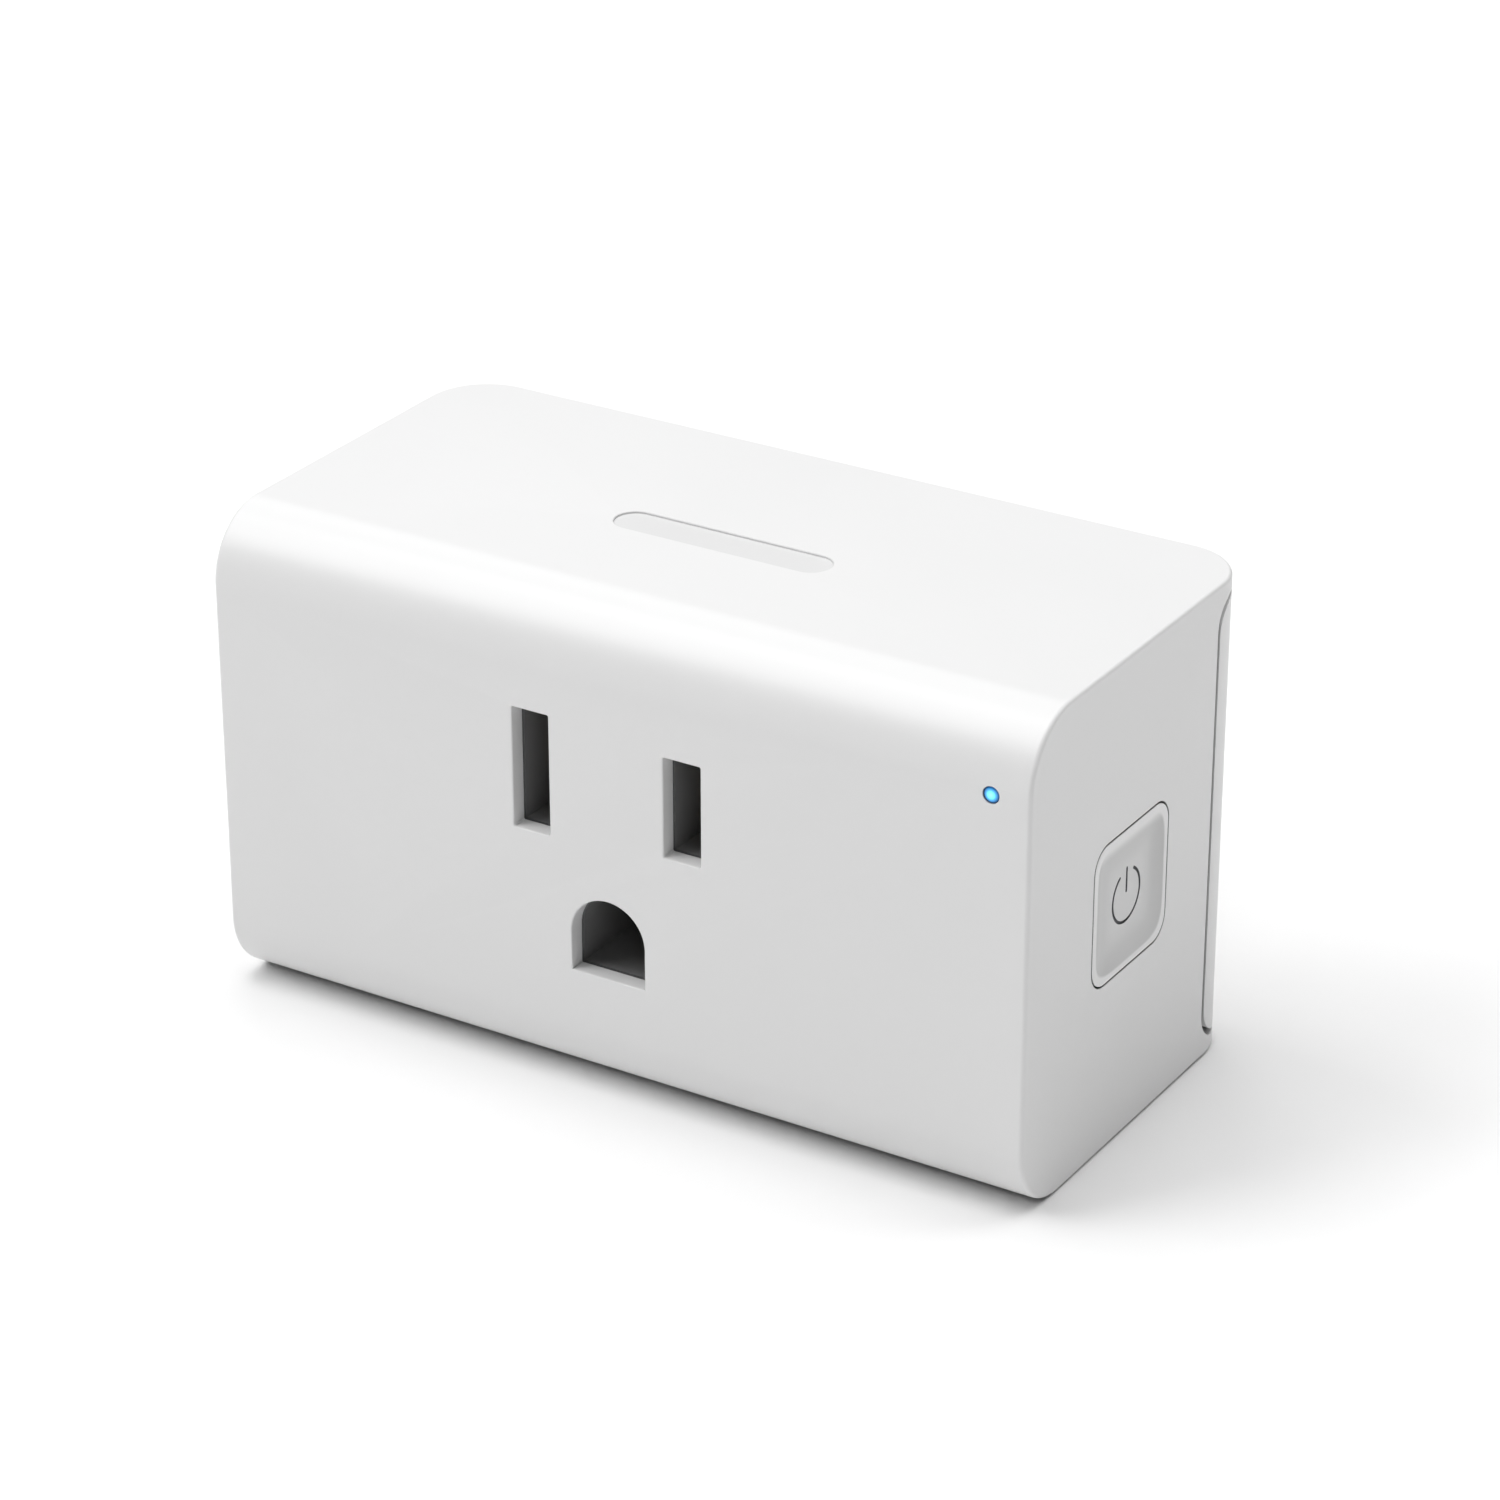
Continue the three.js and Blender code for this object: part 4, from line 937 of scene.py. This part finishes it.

# %% [markdown]
# ### The painted shade and light of the button
# Light and shade are painted into the button's colour. Its rim and the upper part of its slope are painted
# light. Painted shade lies along the slope, darkest next to the rim, and the middle of the floor lies
# between the two. The tone follows a soft square: the further from the centre, the nearer the rim.

# %% A soft square of tones
# Painted shade along the dish's slope, darkest next to the rim; the rim itself is painted light.
BUTTON_PAINTED_SHADING = ((0.0, 0.69), (0.40, 0.69), (0.68, 0.59), (0.895, 0.535), (0.925, 0.88), (1.0, 0.88))
SQUARENESS = 6.0
PAINTED_LIGHT_FROM, PAINTED_LIGHT_TO = 3.8, 5.1


def button_painted_shading(tree):
    """Painted shade and light by distance from the button's centre, measured so that its contours are soft
    squares.
    """
    place = add_node(tree, "ShaderNodeVectorMath",
                     {0: object_place(tree), 1: (0.0, BUTTON_Y * MM, BUTTON_Z * MM)}, operation="SUBTRACT")
    across = add_node(tree, "ShaderNodeSeparateXYZ", {0: place.outputs[0]})
    powers = []
    for side in ("Y", "Z"):
        share = add_node(tree, "ShaderNodeMath", {0: across.outputs[side], 1: BUTTON_SIZE / 2 * MM},
                         operation="DIVIDE")
        size = add_node(tree, "ShaderNodeMath", {0: share.outputs[0]}, operation="ABSOLUTE")
        powers.append(add_node(tree, "ShaderNodeMath", {0: size.outputs[0], 1: SQUARENESS},
                               operation="POWER").outputs[0])
    total = add_node(tree, "ShaderNodeMath", {0: powers[0], 1: powers[1]}, operation="ADD")
    outward = add_node(tree, "ShaderNodeMath", {0: total.outputs[0], 1: 1 / SQUARENESS}, operation="POWER")
    tones = add_node(tree, "ShaderNodeValToRGB", {"Fac": outward.outputs[0]})
    fill_ramp(tones.color_ramp, [(position, (tone, tone, tone)) for position, tone in BUTTON_PAINTED_SHADING])
    # Painted light: towards the top of the dish the colour turns to the rim's light tone.
    rubbed = add_node(tree, "ShaderNodeMapRange",
                      {"Value": across.outputs["Z"], "From Min": PAINTED_LIGHT_FROM * MM,
                       "From Max": PAINTED_LIGHT_TO * MM},
                      interpolation_type="SMOOTHSTEP")
    rim_tone = BUTTON_PAINTED_SHADING[-1][1]
    return mixed_colour(tree, rubbed.outputs["Result"], tones.outputs["Color"], (rim_tone,) * 3)


button_white = plastic("Satin white button", None, (0.75, 0.75, 0.75), 0.34, 0.0012, painted_crevice_shade=SEAM_PAINTED_SHADE,
                       toned=button_painted_shading)
print("button tones run from", BUTTON_PAINTED_SHADING[0][1], "in the middle to", BUTTON_PAINTED_SHADING[-1][1], "on the rim")

# %% The power mark
MARK = {"radius": 2.02, "line": 0.24, "opening": 62, "bar": (0.22, 2.25), "depth": 0.16, "drop": 0.1}
MARK_STEPS = 60


def mark_cutters():
    """A broken ring with rounded tips and an upright bar, drawn about the button's centre."""
    centre = (BUTTON_Y, BUTTON_Z - MARK["drop"])
    half = MARK["line"] / 2
    start, end = 90 + MARK["opening"] / 2, 450 - MARK["opening"] / 2
    outer = arc(centre, MARK["radius"] + half, start, end, MARK_STEPS)
    inner = arc(centre, MARK["radius"] - half, end, start, MARK_STEPS)
    tips = []
    for at, first in ((end, end), (start, start - 180)):
        turn = math.radians(at)
        middle = (centre[0] + MARK["radius"] * math.cos(turn), centre[1] + MARK["radius"] * math.sin(turn))
        tips.append(arc(middle, half, first, first + 180, 6)[1:-1])
    ring = outer + tips[0] + inner + tips[1]
    bar = rounded_outline(around(centre[0], MARK["line"]),
                          (centre[1] + MARK["bar"][0], centre[1] + MARK["bar"][1]), half - BARELY / 2, 5)
    floor = RIGHT - DISH_DEPTH - MARK["depth"]
    outlines = (("Ring", ring), ("Bar", bar))
    return [pushed(name, outline, "x", floor, RIGHT + CLEAR) for name, outline in outlines]


coat(power_button, button_white)
for cutter in mark_cutters():
    cutter.data.materials.append(mark_grey)
    cut(power_button, cutter)
finish_piece(power_button, "button", ["power_button"])

# %% [markdown]
# ## The indicator
# The tip of a clear light pipe fills a small hole high on the right of the face. A lamp behind it lights
# it blue, bright in the middle and dark at the rim, where the light meets the pipe's wall at a slant.

# %% The lens
PIPE_RADIUS = 0.8
TIP_LENGTH = 1.1
DOME_HEIGHT = 0.14
DOME_STEPS = 7
DOME_REACH = 84


def build_lens():
    """The pipe, its step down to the tip, and the tip's shallow dome just behind the face."""
    rings = [(PIPE_RADIUS, lamp_high.y), (PIPE_RADIUS, FRONT + TIP_LENGTH), (LENS_RADIUS, FRONT + TIP_LENGTH)]
    for step in range(DOME_STEPS + 1):
        angle = math.radians(DOME_REACH * step / DOME_STEPS)
        rings.append((LENS_RADIUS * math.cos(angle), FRONT + BARELY + DOME_HEIGHT * (1 - math.sin(angle))))
    return turned("Indicator_lens", (lamp_centre.x, lamp_centre.z), rings)


finish_piece(build_lens(), "housing", ["light_pipe"], lit_lens)

# %% [markdown]
# ## Blades and earth pin
# The plug's two blades are stamped from flat bar, with coined edges and a locking hole near the tip, and
# the earth pin is turned with a rounded nose that enters the wall socket first. A loft through simple
# cross-sections gives each step and taper. The blade's edges are then bevelled, and its hole is cut last
# with a lip on both faces.

# %% Blades
BLADE = {"tail": 1.9, "shoulder": 4.575, "shoulder_y": (11.6, 14.0), "tip": 1.0, "coined": 0.16,
         "tip_inset": 0.3, "hole": 1.98, "hole_from_face": 11.9, "hole_lip": 0.14}


def build_blade(node, name):
    """Narrow tail, shoulder behind the cover, and the bar that enters the wall socket."""
    low, high = box_mm(node)
    x, thickness, tip = (low.x + high.x) / 2, high.x - low.x, high.y
    half = BLADE_HEIGHT / 2
    sections = [
        (low.y, BLADE["tail"], 0), (BLADE["shoulder_y"][0], BLADE["tail"], 0),
        (BLADE["shoulder_y"][0], BLADE["shoulder"], 0), (BLADE["shoulder_y"][1], BLADE["shoulder"], 0),
        (BLADE["shoulder_y"][1], half, 0), (tip - BLADE["tip"], half, 0),
        (tip, half - BLADE["tip"], BLADE["tip_inset"]),
    ]
    rings = []
    for y, half_height, inset in sections:
        corners = rounded_outline(around(x, thickness - 2 * inset), around(BLADE_Z, 2 * half_height), 0, 1)
        rings.append(on_plane(corners[::2], "y", y))
    blade = loft(name, rings)
    coined = blade.modifiers.new("Coined edges", "BEVEL")
    coined.width = BLADE["coined"]
    coined.segments = 3
    coined.limit_method = "ANGLE"
    coined.angle_limit = math.radians(20)
    settle(blade)
    hole = round_hole((BACK + BLADE["hole_from_face"], BLADE_Z), BLADE["hole"], 48)
    for face, outward in ((low.x, -1), (high.x, 1)):
        cut(blade, flared_cutter("Locking hole", hole, "x", face, thickness + CLEAR, BLADE["hole_lip"],
                                 outward))
    finish_piece(blade, "housing", [node], nickel)


build_blade("neutral_blade", "Neutral_blade")
build_blade("line_blade", "Line_blade")


# %% Earth pin
PIN_TAIL = 1.5
PIN_COLLAR = {"radius": 3.7, "front": 11.8, "back": 14}
PIN_CHAMFER = 0.1
PIN_TAIL_CHAMFER = 0.12
NOSE_LENGTH = 1.9
NOSE_STEPS = 12
NOSE_BLUNTNESS = 0.72


def build_earth_pin():
    """Tail, collar and shaft, then a nose that is blunter than a ball."""
    front, back = PIN_COLLAR["front"], PIN_COLLAR["back"]
    wide, narrow = PIN_COLLAR["radius"], PIN_COLLAR["radius"] - PIN_CHAMFER
    profile = [(PIN_TAIL - PIN_TAIL_CHAMFER, pin_low.y), (PIN_TAIL, pin_low.y + PIN_TAIL_CHAMFER),
               (PIN_TAIL, front), (narrow, front), (wide, front + PIN_CHAMFER), (wide, back - PIN_CHAMFER),
               (narrow, back), (PIN_RADIUS, back)]
    for step in range(NOSE_STEPS + 1):
        angle = math.radians(90 * step / NOSE_STEPS)
        profile.append((max(PIN_RADIUS * math.cos(angle) ** NOSE_BLUNTNESS, 2 * BARELY),
                        pin_high.y - NOSE_LENGTH * (1 - math.sin(angle))))
    pin = turned("Earth_pin", (0, EARTH_Z), profile, PIN_SIDES)
    finish_piece(pin, "housing", ["ground_pin"], nickel)


build_earth_pin()

# %% [markdown]
# ## Screws
# Four long self-tapping screws pull the cover onto the bosses, and two short ones hold the contacts down.
# Their heads have a cross recess with tapered arms. The thread is drawn in the same loft as the shaft:
# the radius of each point rises and falls with its turn and its depth, which makes one true helix.

# %% Screws
THREAD_PITCH = 0.9
THREAD_SIDES = 24
RINGS_PER_TURN = 7
TAPER_LENGTH = 1.6
CREST_SHARPNESS = 2.2
CORE_SHARE = 0.72
HEAD = {"edge": 0.12, "dome": 0.42, "flat": 0.62, "steps": 5}
RECESS = {"length": 1.15, "width": 0.26, "floor": 0.7, "depth": 0.62, "above": 0.2}
COVER_SCREW = {"shaft": 1.1, "seat": 13.5}
RETAINER_SCREW = {"shaft": 0.8, "head_share": 0.13}


def thread_ring(centre, y, tip_y, core, crest):
    """One ring of a threaded shaft that tapers to its tip."""
    taper = min((y - tip_y) / TAPER_LENGTH, 1)
    points = []
    for side in range(THREAD_SIDES):
        turn = side / THREAD_SIDES
        ridge = abs(((y / THREAD_PITCH + turn) % 1) * 2 - 1) ** CREST_SHARPNESS
        radius = (core + (crest - core) * ridge) * max(taper, 0.12)
        angle = 2 * math.pi * turn
        points.append((centre[0] + radius * math.cos(angle), y, centre[1] + radius * math.sin(angle)))
    return points


def build_screw(node, name, shaft, seat):
    """A screw with its thread, a pan head that starts at seat, and a cross recess."""
    low, high = box_mm(node)
    centre = ((low.x + high.x) / 2, (low.z + high.z) / 2)
    head = (high.x - low.x) / 2
    height = high.y - seat
    steps = int((seat - low.y) / THREAD_PITCH * RINGS_PER_TURN)
    rings = [thread_ring(centre, low.y + (seat - low.y) * step / steps, low.y, shaft * CORE_SHARE, shaft)
             for step in range(steps + 1)]
    dome = height * HEAD["dome"]
    profile = [(head - HEAD["edge"], seat), (head, seat + HEAD["edge"]), (head, high.y - dome)]
    for step in range(1, HEAD["steps"] + 1):
        angle = math.radians(90 * step / HEAD["steps"])
        spread = HEAD["flat"] + (1 - HEAD["flat"]) * math.cos(angle)
        profile.append((head * spread, high.y - dome * (1 - math.sin(angle))))
    rings += [on_plane(round_hole(centre, radius, THREAD_SIDES)(0), "y", y) for radius, y in profile]
    screw = loft(name, rings)
    across, thin = head * RECESS["length"], head * RECESS["width"]
    for arm in ((across, thin), (thin, across)):
        ends = []
        for share, y in ((RECESS["floor"], high.y - height * RECESS["depth"]), (1, high.y + RECESS["above"])):
            sides = [around(middle, side * share) for middle, side in zip(centre, arm)]
            ends.append(on_plane(rounded_outline(*sides, 0, 1)[::2], "y", y))
        cut(screw, loft("Cross", ends))
    finish_piece(screw, "housing", [node], screw_steel)


for number, screw in enumerate(screws, 1):
    build_screw(screw, f"Cover_screw_{number}", COVER_SCREW["shaft"], COVER_SCREW["seat"])
for number in (1, 2):
    node = f"retainer_screw_{number}"
    low, high = box_mm(node)
    seat = high.y - (high.y - low.y) * RETAINER_SCREW["head_share"]
    build_screw(node, f"Retainer_screw_{number}", RETAINER_SCREW["shaft"], seat)

# %% [markdown]
# ## The parts that the frame already shapes
# Everything else keeps the shape of the engineering model and takes a finish. The finish is given to the
# object and not to its mesh, because the frame's own meshes are never changed.

# %% Dress the remaining nodes
def dress(material, *nodes):
    """Gives nodes of the frame a material, in every slot they have."""
    for name in nodes:
        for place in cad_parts[name].material_slots:
            place.link = "OBJECT"
            place.material = material


dress(contact_grey, "receptacle_block", "contact_retainer")
dress(brass, "neutral_contact", "line_contact", "ground_contact", "ground_strap")
dress(board_green, "power_board", "control_board")
dress(module_blue, "wifi_module_board")
dress(tinned_steel, "wifi_shield_can", "switch_cover", "switch_dome", "relay_yoke", "relay_armature")
dress(part_black, "board_header", "regulator_chip", "switch_body", "switch_plunger", "relay_base",
      "relay_bobbin", "rectifier", "converter_chip", "filter_inductor")
dress(relay_blue, "relay_case")
dress(lit_lens, "indicator_led")
dress(winding, "relay_coil")
dress(copper, "relay_fixed_contact", "relay_common_terminal")
dress(sleeve_black, "input_capacitor", "filter_capacitor", "output_capacitor")
dress(film_yellow, "safety_capacitor")
dress(varistor_blue, "surge_varistor")
dress(resistor_green, "fuse_resistor")
print("dressed the nodes that keep their shape")

# %% [markdown]
# ## Floor and light
# The plug stands on a plain white sweep. The light is soft: a bright ceiling, one large panel high on the
# left that gives the top its brightness and the rounded edge its glint, and the floor's own bounce.
# Far from the plug the lamps no longer reach the sweep, so there it glows a little by itself. From a low
# angle it then ends in white, and it is too low and too far away to light the plug.

# %% Floor
GLOW_FROM, GLOW_TO = 0.4, 1.3
FLOOR_REACH = 3000
FLOOR_THICKNESS = 20


def build_floor():
    """A slab under the plug, which is no part of the object."""
    reach = (-FLOOR_REACH, FLOOR_REACH)
    floor = pushed("Floor", rounded_outline(reach, reach, 0, 1)[::2], "z", -FLOOR_THICKNESS, 0)
    for vertex in floor.data.vertices:
        vertex.co *= MM
    material, tree, shader = new_finish("White sweep", specular=0.1)
    cloud = add_node(tree, "ShaderNodeTexNoise", {"Vector": object_place(tree), "Scale": 6.0})
    tree.links.new(mixed_colour(tree, cloud.outputs["Fac"], (0.93, 0.93, 0.93), (0.95, 0.95, 0.95)),
                   shader.inputs["Base Color"])
    shader.inputs["Roughness"].default_value = 0.9
    distance = add_node(tree, "ShaderNodeVectorMath", {0: object_place(tree)}, operation="LENGTH")
    glow = add_node(tree, "ShaderNodeMapRange", {"Value": distance.outputs["Value"], "From Min": GLOW_FROM,
                                                 "From Max": GLOW_TO}, interpolation_type="SMOOTHSTEP")
    tree.links.new(glow.outputs["Result"], shader.inputs["Emission Color"])
    shader.inputs["Emission Strength"].default_value = 1.0
    material.cycles.emission_sampling = "NONE"
    floor.data.materials.append(material)


build_floor()
print("floor laid,", 2 * FLOOR_REACH * MM, "m wide")


# %% The panels' maker
def panel(name, place, target, size, watts):
    """A square lamp that looks from a place to a target, both in metres."""
    data = bpy.data.lights.new(name, "AREA")
    data.shape = "SQUARE"
    data.size = size
    data.energy = watts
    lamp = bpy.data.objects.new(name, data)
    bpy.context.collection.objects.link(lamp)
    lamp.location = place
    lamp.rotation_euler = (Vector(target) - Vector(place)).to_track_quat("-Z", "Y").to_euler()


# %% Lights
CENTRE = (0, 0, 0.02)
PANELS = (
    ("Ceiling panel", (0, 0, 1.0), 0.8, 6.5),
    ("Left front panel", (-0.6, -0.5, 0.9), 0.6, 5.6),
    ("Right front panel", (0.6, -0.9, 0.6), 0.6, 1.4),
    ("Edge glint panel", (-0.47, 0, 0.88), 0.22, 1.1),
    ("Left back panel", (-0.6, 0.6, 0.8), 0.5, 1.2),
    ("Back panel", (0, 0.9, 0.7), 0.7, 1.6),
    ("Right back panel", (0.6, 0.6, 0.8), 0.5, 1.9),
)
for name, place, size, watts in PANELS:
    panel(name, place, CENTRE, size, watts)
print(len(PANELS), "panels,", round(sum(watts for *_, watts in PANELS), 2), "W in all")

# %% Backdrop
AMBIENT, BACKDROP = 0.01, 1.0
world = bpy.data.worlds.new("Studio")
bpy.context.scene.world = world
world.use_nodes = True
backdrop = world.node_tree.nodes["Background"]
backdrop.inputs["Color"].default_value = (1, 1, 1, 1)
seen = add_node(world.node_tree, "ShaderNodeLightPath").outputs["Is Camera Ray"]
world.node_tree.links.new(ranged(world.node_tree, seen, AMBIENT, BACKDROP), backdrop.inputs["Strength"])
bpy.context.scene.view_settings.view_transform = "Standard"
print("backdrop ready")
